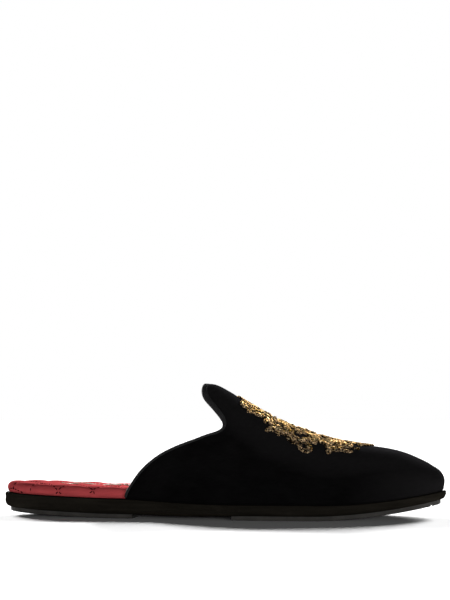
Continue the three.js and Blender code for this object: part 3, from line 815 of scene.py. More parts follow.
def make_binding(settings):
    """A grosgrain ribbon folded over the topline, with real ribs, and the stitches that hold it."""
    steps = int(TOPLINE_WAY / (settings.rib_pitch / 4))
    way = np.linspace(0.9, TOPLINE_WAY, steps)
    ways = np.concatenate([way, way[-2::-1]])
    sides = np.concatenate([np.full(steps, LATERAL), np.full(steps - 1, MEDIAL)])
    lengths = np.concatenate([way, 2 * TOPLINE_WAY - way[-2::-1]])
    profile = np.array([binding_profile(float(depth)) for depth in binding_depth(ways)])
    count = profile.shape[1]
    rib = 0.5 - 0.5 * np.cos(2 * np.pi * lengths / settings.rib_pitch)
    sway = 0.08 * np.sin(lengths / 6.7) + 0.05 * np.sin(lengths / 2.9 + 1)
    middle = np.array([-EDGE_WALL / 2, 0.8])
    spread = unit(profile - middle)
    shown = np.ones(count)
    shown[-4:] = 0
    moved = (settings.rib_depth * (rib - 1) + sway * 0.5)[:, None] * shown
    profile = profile + spread * moved[..., None]
    points = binding_place(
        np.repeat(ways[:, None], count, 1), np.repeat(sides[:, None], count, 1), profile[..., 0], profile[..., 1]
    )
    blocks = [(grid_faces(len(ways), count, closed=True), 0)]
    for first in (0, (len(ways) - 1) * count):
        blocks.append((np.arange(count)[None, :] + first, 0))
    look = bpy.context.scene.slipper_look
    ribbon = mesh_object("topline_ribbon", points.reshape(-1, 3), blocks, [ribbon_material(look)])
    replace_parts(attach(ribbon, "root"), "topline_binding")

    paths = []
    for side in (LATERAL, MEDIAL):
        for inner in (False, True):
            start = 4.0
            while start + settings.stitch_length < TOPLINE_WAY - 1:
                along = np.linspace(start, start + settings.stitch_length, 6)
                depth = binding_depth(along)
                bow = np.sin(np.linspace(0, np.pi, 6))
                out = 0.5 + 0.3 * bow
                out = -EDGE_WALL - out if inner else out
                paths.append(binding_place(along, np.full(6, side), out, depth - 0.75))
                start += settings.stitch_length + settings.stitch_gap
    stitches = tubes_object("binding_stitches", paths, 0.17, 6, [thread_material("binding_thread", look.ribbon_color, 0.0)])
    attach(stitches, "root")
    return ribbon


def tube_points(path, radius, sides, normal=None):
    """Rings of points round a path of points. Radius may vary along it."""
    path = np.asarray(path, float)
    along = unit(np.gradient(path, axis=0))
    guide = np.array([0.0, 0.0, 1.0]) if normal is None else np.asarray(normal, float)
    across = np.cross(along, guide)
    weak = np.linalg.norm(across, axis=-1) < 1e-3
    across[weak] = np.cross(along[weak], [0.0, 1.0, 0.0])
    across = unit(across)
    up = np.cross(across, along)
    turns = 2 * np.pi * np.arange(sides) / sides
    radii = np.broadcast_to(np.asarray(radius, float), (len(path),))[:, None, None]
    ring = np.cos(turns)[None, :, None] * across[:, None] + np.sin(turns)[None, :, None] * up[:, None]
    return path[:, None] + radii * ring


def tubes_object(name, paths, radius, sides, materials, normals=None, kinds=None, beads=0.0):
    """Many round threads as one mesh, each with narrowed ends. Beads is how far every third ring is drawn in."""
    parts, blocks, first = [], [], 0
    for number, path in enumerate(paths):
        path = np.asarray(path, float)
        count = len(path)
        reach = np.where(np.arange(count) % 3 == 0, 1 - beads, 1.0)
        reach[0] = reach[-1] = 0.35
        normal = None if normals is None else normals[number]
        points = tube_points(path, radius * reach, sides, normal=normal)
        parts.append(points.reshape(-1, 3))
        kind = 0 if kinds is None else kinds[number]
        blocks.append((grid_faces(count, sides, first, closed=True), kind))
        blocks.append((np.arange(sides)[None, ::-1] + first, kind))
        blocks.append((np.arange(sides)[None, :] + first + (count - 1) * sides, kind))
        first += count * sides
    return mesh_object(name, np.concatenate(parts), blocks, materials, weld=False)


def quilt(x, y, settings):
    """How full the quilting is at a place: nothing on its seams and 1 in the middle of a diamond."""
    p = (x - settings.seam_x) / settings.diamond_length
    q = (y - settings.seam_y) / settings.diamond_width
    first = np.abs(np.sin(np.pi * (p + q)))
    second = np.abs(np.sin(np.pi * (p - q)))
    return first, second


def quilt_height(x, y, settings):
    first, second = quilt(x, y, settings)
    puff = (first * second) ** 0.42
    near_first = np.exp(-((first / 0.45) ** 2))
    near_second = np.exp(-((second / 0.45) ** 2))
    pucker = 0.10 * near_first * np.sin(x * 1.9 + y * 1.1 + 2.3 * np.sin(y / 5.1))
    pucker = pucker + 0.10 * near_second * np.sin(x * 1.7 - y * 1.3 + 2.1 * np.sin(x / 6.3))
    uneven = 0.22 * np.sin(x / 9.7 + 1.3) * np.sin(y / 7.9 + 0.6) * puff
    return settings.puff * (puff - 0.62) + pucker * (1 - puff) + uneven


def insole_inset(at):
    covered = FEATHER_INSET + UPPER_WALL + 2 * SEAM
    return INSOLE_INSET + (covered - INSOLE_INSET) * smoothstep(at, 0.2, TOPLINE[0]["at"] - 0.01)


# The insole's edge from its base up over its side to its crown: inset from its outline and height over its base
INSOLE_PROFILE = [
    {"step": 0, "grown": 0.9, "height": 0.0},
    {"step": 1, "grown": 0.1, "height": 0.25 * INSOLE_EDGE},
    {"step": 2, "grown": -0.5, "height": 0.7 * INSOLE_EDGE},
    {"step": 3, "grown": -0.4, "height": INSOLE_EDGE + 0.12 * INSOLE_CROWN},
    {"step": 4, "grown": 0.3, "height": INSOLE_EDGE + 0.46 * INSOLE_CROWN},
    {"step": 5, "grown": 1.7, "height": INSOLE_EDGE + 0.75 * INSOLE_CROWN},
    {"step": 6, "grown": 4.0, "height": INSOLE_EDGE + 0.9 * INSOLE_CROWN},
    {"step": 7, "grown": 7.4, "height": INSOLE_EDGE + 0.96 * INSOLE_CROWN},
    {"step": 8, "grown": 11.0, "height": INSOLE_EDGE + 0.98 * INSOLE_CROWN},
]
profile_grown = Spline(INSOLE_PROFILE, "grown", "step")
profile_height = Spline(INSOLE_PROFILE, "height", "step")


def unfolded(share):
    """The inset of a place on the insole's side, as if the side were folded up level with the top."""
    top = min(share, 4.5)
    return float(profile_grown(max(share, 4.5))) - float(profile_height(4.5) - profile_height(top))


def insole_crown_height(x):
    return outsole_top(at_of(x)) + SEAM + INSOLE_EDGE + INSOLE_CROWN


def make_insole(settings):
    """The quilted satin cushion."""
    steps = settings.steps
    shares = np.linspace(0, 8, 8 * settings.profile_steps + 1)
    rings = []
    for share in shares:
        grown, height = float(profile_grown(share)), float(profile_height(share))
        plan = ring_plan(lambda at: insole_inset(at) + grown, steps)
        little = 0.05
        rise = float(profile_height(min(8, share + little)) - profile_height(max(0, share - little)))
        run = float(profile_grown(min(8, share + little)) - profile_grown(max(0, share - little)))
        outward = plan - ring_plan(lambda at: insole_inset(at) + grown + 0.5, steps)
        outward = unit(np.concatenate([outward, np.zeros((len(plan), 1))], -1))
        lean = rise / max(1e-6, math.hypot(rise, run))
        normal = unit(outward * lean + np.array([0, 0, 1.0]) * (1 - lean + max(0.0, run) * 0.2))
        base = outsole_top(at_of(plan[:, 0])) + SEAM
        flat = ring_plan(lambda at: insole_inset(at) + unfolded(share), steps)
        moved = quilt_height(flat[:, 0], flat[:, 1], settings) * smoothstep(share, 0.3, 2.0)
        points = np.column_stack([plan, base + height]) + normal * moved[:, None]
        rings.append(points)
    count = len(rings[0])
    blocks = [(grid_faces(len(rings), count, closed=True), 0)]
    last = rings[-1]
    width = settings.cap_columns
    across = np.linspace(0, 1, width + 1)[:, None, None]
    lateral = last[: steps + 1]
    medial = np.concatenate([last[:1], last[: steps - 1 : -1][: steps - 1], last[steps : steps + 1]])
    cap = lateral[None] * (1 - across) + medial[None] * across
    bow = 0.02 * INSOLE_CROWN * np.sin(np.pi * across[..., 0])
    cap[..., 2] = insole_crown_height(cap[..., 0]) - 0.02 * INSOLE_CROWN + bow
    cap[..., 2] += quilt_height(cap[..., 0], cap[..., 1], settings)
    points = np.concatenate([np.concatenate(rings), cap.reshape(-1, 3)])
    blocks.append((grid_faces(width + 1, steps + 1, first=len(rings) * count), 0))
    blocks.append((np.arange(count)[None, ::-1], 0))
    look = bpy.context.scene.slipper_look
    insole = mesh_object("quilted_insole", points, blocks, [satin_material(look)])
    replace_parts(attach(insole, "root"), "insole")
    return insole


def edge_distance(x, y):
    """Distance from the insole's outline, for places on its top."""
    stations = station(300)
    best = np.full(np.shape(x), 1e9)
    for side in (LATERAL, MEDIAL):
        plan = inset_point(stations, side, insole_inset(stations))
        plan[:, 1] += CENTRING
        away = np.hypot(np.ravel(x)[:, None] - plan[None, :, 0], np.ravel(y)[:, None] - plan[None, :, 1]).min(1)
        best = np.minimum(best, away.reshape(np.shape(x)))
    at = at_of(x)
    middle = outline_point(at, LATERAL)[..., 1] + CENTRING
    other = outline_point(at, MEDIAL)[..., 1] + CENTRING
    inside = (y > middle) & (y < other) & (at > 0) & (at < 1)
    return np.where(inside, best, -best)


def insole_surface(x, y, settings):
    """Height of the quilted top at a place."""
    distance = np.clip(edge_distance(x, y), -0.4, 11.0)
    share = np.linspace(2.5, 8, 121)
    height = np.interp(distance, profile_grown(share), profile_height(share))
    return outsole_top(at_of(x)) + SEAM + height + quilt_height(x, y, settings)


def wall_place(points, lift, settings):
    """Places just past the insole's top edge, folded down onto its upright side."""
    stations = station(420)
    sides = [inset_point(stations, side, insole_inset(stations)) for side in (LATERAL, MEDIAL)]
    inner = [inset_point(stations, side, insole_inset(stations) + 1.0) for side in (LATERAL, MEDIAL)]
    plan = np.concatenate(sides) + [0.0, CENTRING]
    inward = unit(np.concatenate(inner) - np.concatenate(sides))
    nearest = np.hypot(points[..., None, 0] - plan[:, 0], points[..., None, 1] - plan[:, 1]).argmin(-1)
    foot, inward = plan[nearest], inward[nearest]
    depth = ((points - foot) * inward).sum(-1)
    share = np.linspace(1, 4.5, 71)
    top = float(profile_height(4.5))
    height = np.clip(top - (float(profile_grown(4.5)) - depth), 0.5, top)
    relief = quilt_height(points[..., 0], points[..., 1], settings) * smoothstep(height, 0.3, 2.0)
    grown = np.interp(height, profile_height(share), profile_grown(share)) - lift - relief
    there = foot + inward * grown[..., None]
    z = outsole_top(at_of(there[..., 0])) + SEAM + height
    return np.concatenate([there, z[..., None]], -1), depth


def make_seams(settings):
    """Stitches along the seams of the quilting."""
    starts = []
    length, width = settings.diamond_length, settings.diamond_width
    step = math.hypot(length, width)
    direction = np.array([length, width]) / step
    for slope in (1, -1):
        heading = direction * [1, slope]
        for line in range(-9, 16):
            origin = np.array([settings.seam_x + line * length, settings.seam_y])
            for k in range(-26, 40):
                starts.append((origin + heading * (k + 0.2) * settings.stitch_pitch, heading))
    origins = np.array([start for start, _ in starts])
    ways = np.array([heading for _, heading in starts])
    offsets = np.linspace(0, settings.stitch_pitch * 0.66, 5)
    places = origins[:, None] + ways[:, None] * offsets[None, :, None]
    distance = edge_distance(places[..., 0], places[..., 1])
    covered = at_of(places[..., 0].max(1)) > TOPLINE[0]["at"] - 0.02
    bow = np.array([-0.2, 0.2, 0.3, 0.2, -0.2])
    kept = places[distance.min(1) > np.where(covered, 3.4, 1.0)]
    height = insole_surface(kept[..., 0], kept[..., 1], settings)
    paths = list(np.concatenate([kept, (height + bow)[..., None]], -1))
    near_edge = places[(np.abs(distance).max(1) < 8) & (distance.min(1) <= 1.0) & ~covered]
    walls, depth = wall_place(near_edge, bow, settings)
    height = insole_surface(near_edge[..., 0], near_edge[..., 1], settings) + bow
    tops = np.concatenate([near_edge, height[..., None]], -1)
    crossing = np.where((depth < profile_grown(4.5))[..., None], walls, tops)
    paths += [path for path, down in zip(crossing, depth) if down.min() > -4.6]
    look = bpy.context.scene.slipper_look
    thread = thread_material("quilting_thread", look.seam_color, 0.0, 0.7)
    seams = tubes_object("quilting_stitches", paths, settings.thread_radius, 6, [thread])
    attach(seams, "root")
    return seams


# The little stitched vine on the insole: where its middle is, its length, its waves and its leaves, in millimetres
VINE = {"x": -84.0, "y": -7.0, "length": 50.0, "wave": 14.3, "rise": 2.2, "leaf": 4.6, "leaf_width": 2.0}


def make_vine(settings):
    """A plain vine in cream thread on the heel of the insole."""
    paths = []

    def stitch(flat, lift):
        x, y = VINE["x"] + flat[:, 0], VINE["y"] + flat[:, 1]
        paths.append(np.column_stack([x, y, insole_surface(x, y, settings) + lift]))

    def vine(along):
        return VINE["rise"] * np.sin(2 * np.pi * along / VINE["wave"])

    half = VINE["length"] / 2
    for start in np.arange(-half, half, 2.1):
        along = np.linspace(start, start + 1.75, 5)
        stitch(np.stack([along, vine(along)], -1), np.array([-0.1, 0.3, 0.38, 0.3, -0.1]))
    for number, along in enumerate(np.arange(-half + VINE["wave"] / 4, half, VINE["wave"] / 2)):
        hand = 1 if number % 2 == 0 else -1
        base = np.array([along, float(vine(along))])
        heading = math.radians(52 * hand)
        for side in (0, 1):
            turn = heading if side == 0 else math.pi - heading * 0.9
            ahead = np.array([math.cos(turn), math.sin(turn)])
            across = np.array([-ahead[1], ahead[0]])
            for share in np.linspace(0.1, 0.92, 8):
                reach = VINE["leaf_width"] * math.sin(math.pi * share**0.9) * 0.5 + 0.12
                middle = base + ahead * share * VINE["leaf"]
                q = np.linspace(-1, 1, 4)[:, None]
                stitch(middle + q * (across * reach + ahead * 0.35 * reach), np.array([-0.05, 0.4, 0.4, -0.05]))
    look = bpy.context.scene.slipper_look
    thread = thread_material("cream_thread", look.vine_color, 0.3, 0.5)
    made = tubes_object("insole_vine", paths, 0.25, 6, [thread])
    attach(made, "root")


def ring_block(rings, first=0, cap_columns=10):
    """Points and faces of a closed solid through rings of equal count, lowest first, with gridded caps."""
    count = len(rings[0])
    half = count // 2
    points = [np.concatenate(rings)]
    blocks = [(grid_faces(len(rings), count, first, closed=True), 0)]
    start = first + len(rings) * count
    for ring in (rings[0], rings[-1]):
        lateral = ring[: half + 1]
        medial = np.concatenate([ring[:1], ring[:half:-1], ring[half : half + 1]])
        across = np.linspace(0, 1, cap_columns + 1)[:, None, None]
        cap = lateral[None] * (1 - across) + medial[None] * across
        points.append(cap.reshape(-1, 3))
        blocks.append((grid_faces(cap_columns + 1, half + 1, start), 0))
        start += (cap_columns + 1) * (half + 1)
    return np.concatenate(points), blocks


def make_outsole(settings):
    """The leather sole with a burnished, slightly uneven edge."""
    steps = settings.steps
    rings = []
    turns = np.linspace(0, np.pi / 2, settings.round_steps + 1)
    heights = [(SOLE_EDGE_ROUND * (1 - math.sin(a)), SOLE_EDGE_ROUND * (1 - math.cos(a)), 0.0) for a in turns]
    heights += [(0.0, SOLE_EDGE_ROUND, share) for share in (0.2, 0.4, 0.6, 0.8, 1.0)]
    heights += [(SOLE_TOP_ROUND * (1 - math.cos(a)), SOLE_EDGE_ROUND, 1.0 + math.sin(a)) for a in turns[2::2]]
    for inset, rise, share in heights:
        plan = ring_plan(inset, steps)
        at = at_of(plan[:, 0])
        low = outsole_bottom(at) + rise
        side = outsole_top(at) - SOLE_TOP_ROUND - outsole_bottom(at) - SOLE_EDGE_ROUND
        z = low + side * min(share, 1.0) + SOLE_TOP_ROUND * max(0.0, share - 1.0)
        uneven = 0.06 * np.sin(plan[:, 0] / 7.3 + 2 * z) + 0.04 * np.sin(plan[:, 0] / 2.7 + 1.2 * z)
        outward = unit(plan - ring_plan(inset + 0.5, steps))
        plan = plan + outward * uneven[:, None] * settings.unevenness
        rings.append(np.column_stack([plan, z]))
    points, blocks = ring_block(rings)
    look = bpy.context.scene.slipper_look
    outsole = mesh_object("leather_outsole", points, blocks, [leather_material(look)])
    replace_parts(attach(outsole, "root"), "outsole")
    return outsole


def make_pads(settings):
    """Both rubber treads, copied from their CAD solids and cut with fine grooves across the sole."""
    look = bpy.context.scene.slipper_look
    rubber = rubber_material(look)
    for node in ("heel_pad", "forefoot_pad"):
        low, high = (np.array(corner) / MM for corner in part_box(node))
        grooves = bmesh.new()
        x = low[0] + settings.groove_border
        while x < high[0] - settings.groove_border:
            at = np.array([at_of(x)])
            reach = [float(inset_point(at, side, 3.6 + settings.groove_border)[0, 1]) + CENTRING for side in (-1, 1)]
            top = float(spring(at)[0]) + settings.groove_depth
            if reach[1] - reach[0] > 4:
                made = bmesh.ops.create_cube(grooves, size=1.0)["verts"]
                size = Vector((settings.groove_width, reach[1] - reach[0], 6.0))
                middle = Vector((x, (reach[0] + reach[1]) / 2, top - 3.0))
                for vertex in made:
                    vertex.co = Vector(a * b + c for a, b, c in zip(vertex.co, size, middle)) * MM
            x += settings.groove_pitch
        cutter_mesh = bpy.data.meshes.new("groove_cutter")
        grooves.to_mesh(cutter_mesh)
        grooves.free()
        cutter = bpy.data.objects.new("groove_cutter", cutter_mesh)
        bpy.context.scene.collection.objects.link(cutter)
        pad = bpy.data.objects.new(node.replace("pad", "tread"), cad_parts[node].data.copy())
        bpy.context.scene.collection.objects.link(pad)
        for vertex in pad.data.vertices:
            if vertex.co.z / MM > float(spring(at_of(vertex.co.x / MM))) + 0.5 * PAD_THICKNESS:
                vertex.co.z += 0.95 * SEAM * MM
        weld = pad.modifiers.new("weld", "WELD")
        weld.merge_threshold = 1e-6
        cut = pad.modifiers.new("grooves", "BOOLEAN")
        cut.operation = "DIFFERENCE"
        cut.solver = "EXACT"
        cut.object = cutter
        evaluated = pad.evaluated_get(bpy.context.evaluated_depsgraph_get())
        carved = bpy.data.meshes.new_from_object(evaluated)
        pad.modifiers.clear()
        pad.data = carved
        bpy.data.objects.remove(cutter)
        carved.materials.clear()
        carved.materials.append(rubber)
        for polygon in carved.polygons:
            polygon.use_smooth = False
        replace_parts(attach(pad, "root"), node)


# The ornament of the vamp, drawn flat: u runs along the comb towards the toe and v out from it, in millimetres.
# A stem starts at a place with a heading in degrees, follows arcs of length and turn, and has three widths
STEMS = [
    {"u": 15, "v": 1.2, "heading": 38, "arcs": [(11, 10), (10, -42), (8, -95), (7, -125), (5, -120)], "widths": (2.0, 4.2, 1.7)},
    {"u": 19, "v": 6.5, "heading": 118, "arcs": [(8, 14), (8, 70), (6, 110), (3, 90)], "widths": (1.6, 2.8, 1.3)},
    {"u": 24, "v": 13.5, "heading": 70, "arcs": [(10, -22), (15, -40), (11, 10), (8, 75), (7, 120), (4, 100)], "widths": (1.7, 4.4, 1.7)},
    {"u": 33, "v": 5.5, "heading": 48, "arcs": [(11, -14), (11, -44), (9, -50), (6, -30)], "widths": (1.6, 3.2, 1.5)},
    {"u": 51, "v": 27.5, "heading": -22, "arcs": [(9, -6), (10, 24), (9, 76), (8, 112), (5, 120), (3, 80)], "widths": (1.6, 4.4, 1.7)},
    {"u": 58, "v": 9.0, "heading": 66, "arcs": [(9, -36), (8, -70), (6, -120), (4, -110)], "widths": (1.5, 3.2, 1.4)},
    {"u": 73, "v": 5.5, "heading": 40, "arcs": [(9, 26), (8, 84), (6, 120), (4, 110)], "widths": (1.8, 3.6, 1.6)},
    {"u": 60, "v": 4.0, "heading": -4, "arcs": [(9, 2), (9, 18)], "widths": (1.4, 3.0, 1.6)},
]
LEAVES = [
    {"u": 17, "v": 0, "heading": 180, "length": 17, "width": 6.4, "bend": 0},
    {"u": 15.5, "v": 3.2, "heading": 152, "length": 12, "width": 4.6, "bend": 22},
    {"u": 22, "v": 12.5, "heading": 128, "length": 10, "width": 4.2, "bend": 34},
    {"u": 31, "v": 24.5, "heading": 108, "length": 10, "width": 4.2, "bend": 30},
    {"u": 42, "v": 29.5, "heading": 72, "length": 9, "width": 4.0, "bend": -30},
    {"u": 40, "v": 14.0, "heading": 96, "length": 8, "width": 3.4, "bend": 30},
    {"u": 52, "v": 14.0, "heading": 60, "length": 7.5, "width": 3.2, "bend": -30},
    {"u": 76, "v": 0, "heading": 0, "length": 21, "width": 6.2, "bend": 0},
    {"u": 76.5, "v": 2.6, "heading": 24, "length": 17, "width": 5.2, "bend": -8},
    {"u": 77, "v": 19, "heading": 34, "length": 10, "width": 4.0, "bend": -30},
    {"u": 66, "v": 21.5, "heading": 70, "length": 6.5, "width": 3.2, "bend": -26},
    {"u": 76, "v": 28, "heading": 24, "length": 9.5, "width": 3.8, "bend": -36},
    {"u": 70.5, "v": 31.5, "heading": 104, "length": 6, "width": 3.0, "bend": -20},
]
ROSETTES = [
    {"u": 51, "v": 0, "radius": 7.4, "petals": 8},
    {"u": 41.5, "v": 21.5, "radius": 3.4, "petals": 6},
    {"u": 60, "v": 20.5, "radius": 2.6, "petals": 6},
]
KNOTS = [
    {"u": 23, "v": 0, "radius": 1.2},
    {"u": 28.5, "v": 0, "radius": 1.0},
    {"u": 36.5, "v": 0, "radius": 1.0},
    {"u": 41, "v": 0, "radius": 1.2},
    {"u": 62.5, "v": 0, "radius": 1.2},
    {"u": 68, "v": 0, "radius": 1.05},
    {"u": 9, "v": 9.2, "radius": 0.95},
    {"u": 30, "v": 19, "radius": 0.95},
    {"u": 49, "v": 36.5, "radius": 1.05},
    {"u": 67.5, "v": 12.6, "radius": 1.0},
    {"u": 89, "v": 12.5, "radius": 1.0},
    {"u": 94, "v": 8, "radius": 0.85},
    {"u": 88.5, "v": 22.5, "radius": 0.95},
]


class VampMap:
    """Carries flat ornament onto the velvet, by lengths along the comb and out from it."""

    def __init__(self, settings):
        at = np.linspace(settings.start_at - 0.01, 0.9, 500)
        comb = upper_point(at, 1.0, LATERAL)
        way = np.concatenate([[0], np.cumsum(np.linalg.norm(np.diff(comb, axis=0), axis=1))])
        self.way = way - np.interp(settings.start_at, at, way)
        self.at = at
        self.outs = np.linspace(0, 48, 145)
        t = np.linspace(1, 0.12, 300)
        self.shares = {}
        for side in (LATERAL, MEDIAL):
            points = upper_point(at[:, None], t[None], side)
            length = np.cumsum(np.linalg.norm(np.diff(points, axis=1), axis=2), axis=1)
            length = np.concatenate([np.zeros((len(at), 1)), length], 1)
            self.shares[side] = np.array([np.interp(self.outs, row, t) for row in length])

    def place(self, u, v):
        """Points on the velvet and outward normals for flat places."""
        u, v = np.broadcast_arrays(np.asarray(u, float), np.asarray(v, float))
        at = np.interp(u, self.way, self.at)
        row = np.clip((at - self.at[0]) / (self.at[1] - self.at[0]), 0, len(self.at) - 1.001)
        column = np.clip(np.abs(v) / self.outs[1], 0, len(self.outs) - 1.001)
        i, j = row.astype(int), column.astype(int)
        a, b = row - i, column - j
        side = np.where(v >= 0, LATERAL, MEDIAL)
        t = np.zeros_like(u)
        for key, grid in self.shares.items():
            low = grid[i, j] * (1 - b) + grid[i, j + 1] * b
            high = grid[i + 1, j] * (1 - b) + grid[i + 1, j + 1] * b
            t = np.where(side == key, low * (1 - a) + high * a, t)
        t = np.minimum(t, 1.0)
        points, normals = upper_point(at, t, side), upper_normal(at, t, side)
        strength = bpy.context.scene.slipper_upper.crease_strength
        moved = crease_depth(points, side) * crease_calm(t) * strength + fullness(points, t)
        return points + normals * moved[..., None], normals


def walk(start, heading, arcs, step):
    """A flat path through arcs of a length and a turn in degrees."""
    place = np.array(start, float)
    angle = math.radians(heading)
    path = [place]
    for length, turn in arcs:
        count = max(2, round(length / step))
        for _ in range(count):
            angle += math.radians(turn) / count / 2
            place = place + np.array([math.cos(angle), math.sin(angle)]) * length / count
            angle += math.radians(turn) / count / 2
            path.append(place)
    return np.array(path)


def resample(path, pitch):
    """The path again at equal steps, with its share of the length at each."""
    length = np.concatenate([[0], np.cumsum(np.linalg.norm(np.diff(path, axis=0), axis=1))])
    count = max(3, int(round(length[-1] / pitch)))
    way = np.linspace(0, length[-1], count + 1)
    again = np.stack([np.interp(way, length, path[:, k]) for k in range(path.shape[1])], -1)
    return again, way / length[-1]


def flat_frame(path):
    """Directions along and across a flat path."""
    along = unit(np.gradient(path, axis=0))
    return along, np.stack([-along[:, 1], along[:, 0]], -1)


def stem_width(share, widths):
    start, middle, end = widths
    swell = np.sin(np.pi * share)
    return np.where(share < 0.5, start + (middle - start) * swell, end + (middle - end) * swell)


def leaf_width(share, width):
    return width * np.sin(np.pi * np.clip(share, 0, 1) ** 0.82) ** 0.85 + 0.12


class Embroidery:
    """Collects the threads, cords and knots of the ornament."""

    def __init__(self, settings):
        self.settings = settings
        self.map = VampMap(settings)
        self.random = np.random.default_rng(settings.seed)
        self.threads = []
        self.cords = []

    def thread_points(self, length):
        """How many points a laid thread takes, three to each of its beads."""
        slanted = length / math.cos(math.radians(self.settings.slant))
        return 3 * max(1, round(slanted / self.settings.bead)) + 1

    def lay(self, flat, lift):
        points, normals = self.map.place(flat[:, 0], flat[:, 1])
        self.threads.append((points + normals * np.asarray(lift)[:, None], normals))

    def fill_stem(self, path, widths):
        settings = self.settings
        centres, share = resample(path, settings.thread_pitch)
        along, across = flat_frame(centres)
        half = stem_width(share, widths) / 2
        for k, centre in enumerate(centres):
            q = np.linspace(-1, 1, self.thread_points(2 * half[k]))
            slant = math.tan(math.radians(settings.slant)) * half[k]
            jitter = self.random.normal(0, 0.035, 2)
            flat = centre + jitter + q[:, None] * (across[k] * half[k] * 0.98 - along[k] * slant)
            dome = settings.padding * min(1.0, half[k] / 1.1) * np.sqrt(1 - (0.96 * q) ** 2)
            self.lay(flat, 0.16 + dome + self.random.normal(0, 0.03))

    def fill_leaf(self, path, width):
        settings = self.settings
        centres, share = resample(path, settings.thread_pitch)
        along, across = flat_frame(centres)
        half = leaf_width(share, width) / 2
        for k, centre in enumerate(centres[:-1]):
            q = np.linspace(0.04, 1, self.thread_points(half[k]))
            slant = math.tan(math.radians(settings.slant)) * half[k]
            for hand in (1, -1):
                ahead = np.clip(share[k] + slant * q / (share.size * settings.thread_pitch), 0, 1)
                room = np.minimum(1.0, leaf_width(ahead, width) / 2 / max(half[k], 1e-3))
                flat = centre + (q * slant)[:, None] * along[k] + (q * half[k] * room)[:, None] * across[k] * hand
                dome = settings.padding * min(1.0, half[k] / 1.1) * np.sqrt(1 - (0.95 * q) ** 2) * (0.72 + 0.4 * q)
                self.lay(flat, 0.16 + dome + self.random.normal(0, 0.03))

    def cord(self, flat, lift=0.34):
        """A two-ply cord laid along a flat path."""
        settings = self.settings
        centres, _ = resample(flat, settings.cord_step)
        points, normals = self.map.place(centres[:, 0], centres[:, 1])
        points = points + normals * lift
        along = unit(np.gradient(points, axis=0))
        across = np.cross(along, normals)
        way = np.arange(len(points)) * settings.cord_step
        for ply in (0, 1):
            turn = (2 * np.pi * way / settings.cord_twist + np.pi * ply)[:, None]
            path = points + settings.cord_radius * 0.8 * (np.cos(turn) * across + np.sin(turn) * normals)
            self.cords.append((path, normals))

    def stem(self, row, hand):
        path = walk((row["u"], row["v"]), row["heading"], row["arcs"], 0.25) * [1, hand]
        self.fill_stem(path, row["widths"])
        centres, share = resample(path, 0.4)
        _, across = flat_frame(centres)
        half = stem_width(share, row["widths"]) / 2 + 0.16
        for edge in (1, -1):
            self.cord(centres + across * half[:, None] * edge)
        along, _ = flat_frame(centres)
        length = 0.4 * len(centres)
        for number, way in enumerate(np.arange(5.0, 0.72 * length, self.settings.leaflet_pitch)):
            k = int(way / 0.4)
            edge = 1 if number % 2 == 0 else -1
            start = centres[k] + across[k] * half[k] * edge
            heading = math.degrees(math.atan2(along[k, 1], along[k, 0])) + 50 * edge
            size = 5.6 * (1 - 0.3 * way / length)
            leaflet = {"u": start[0], "v": start[1], "heading": heading, "length": size, "bend": -24 * edge}
            self.leaf(dict(leaflet, width=0.5 * size), 1)

    def leaf(self, row, hand):
        path = walk((row["u"], row["v"]), row["heading"], [(row["length"], row["bend"])], 0.25) * [1, hand]
        self.fill_leaf(path, row["width"])
        centres, share = resample(path, 0.3)
        _, across = flat_frame(centres)
        half = leaf_width(share, row["width"]) / 2 + 0.12
        first, second = (centres + across * half[:, None] * edge for edge in (1, -1))
        self.cord(np.concatenate([first, second[::-1]]))
        self.cord(centres[1:-1], 0.34 + self.settings.padding * 0.7)

    def knot(self, u, v, radius):
        """A coiled knot."""
        turns = np.linspace(0, 4.6 * np.pi, 44)
        reach = radius * (1 - 0.62 * turns / turns[-1])
        flat = np.stack([u + reach * np.cos(turns), v + reach * np.sin(turns)], -1)
        points, normals = self.map.place(flat[:, 0], flat[:, 1])
        lift = 0.3 + 0.75 * radius * (turns / turns[-1]) ** 0.8
        self.cords.append((points + normals * lift[:, None], normals))

    def rosette(self, row, hand):
        middle = np.array([row["u"], row["v"] * hand])
        for k in range(row["petals"]):
            angle = 360 * (k + 0.5) / row["petals"]
            start = middle + 0.3 * row["radius"] * np.array([math.cos(math.radians(angle)), math.sin(math.radians(angle))])
            petal = {"u": start[0], "v": start[1], "heading": angle, "length": 0.7 * row["radius"], "bend": 0}
            self.leaf(dict(petal, width=row["radius"] * 2.6 / row["petals"]), 1)
        self.knot(middle[0], middle[1], row["radius"] * 0.24)


def make_embroidery(settings):
    """Gold ornament on the vamp: laid threads over padding, twisted cords at their edges, and knots."""
    work = Embroidery(settings)
    for rows, make in ((STEMS, work.stem), (LEAVES, work.leaf), (ROSETTES, work.rosette)):
        for row in rows:
            for hand in (1, -1) if row["v"] else (1,):
                make(row, hand)
    for row in KNOTS:
        for hand in (1, -1) if row["v"] else (1,):
            work.knot(row["u"], row["v"] * hand, row["radius"])
    look = bpy.context.scene.slipper_look
    # Painted highlight and painted shade: the bright and the dark copies of the gold stand for lit and shaded threads,
    # chosen at random for the laid threads.
    tones = [gold_material(look, "gold_thread", 1.0), gold_material(look, "painted_highlight_gold_thread", 1.4)]
    tones.append(gold_material(look, "painted_shade_gold_thread", 0.35))
    mixed = work.random.choice(3, len(work.threads), p=settings.tone_shares)
    # Painted shade: the plies of each cord alternate plain gold and the dark copy.
    twisted = np.arange(len(work.cords)) % 2 * 2
    for name, laid, radius, sides, kinds, beads in (
        ("vamp_laid_threads", work.threads, settings.thread_radius, 6, mixed, 0.5),
        ("vamp_cords", work.cords, settings.cord_radius, 5, twisted, 0.0),
    ):
        paths = [path for path, _ in laid]
        normals = [normal for _, normal in laid]
        made = tubes_object(name, paths, radius, sides, tones, normals, kinds, beads)
        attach(made, "root")


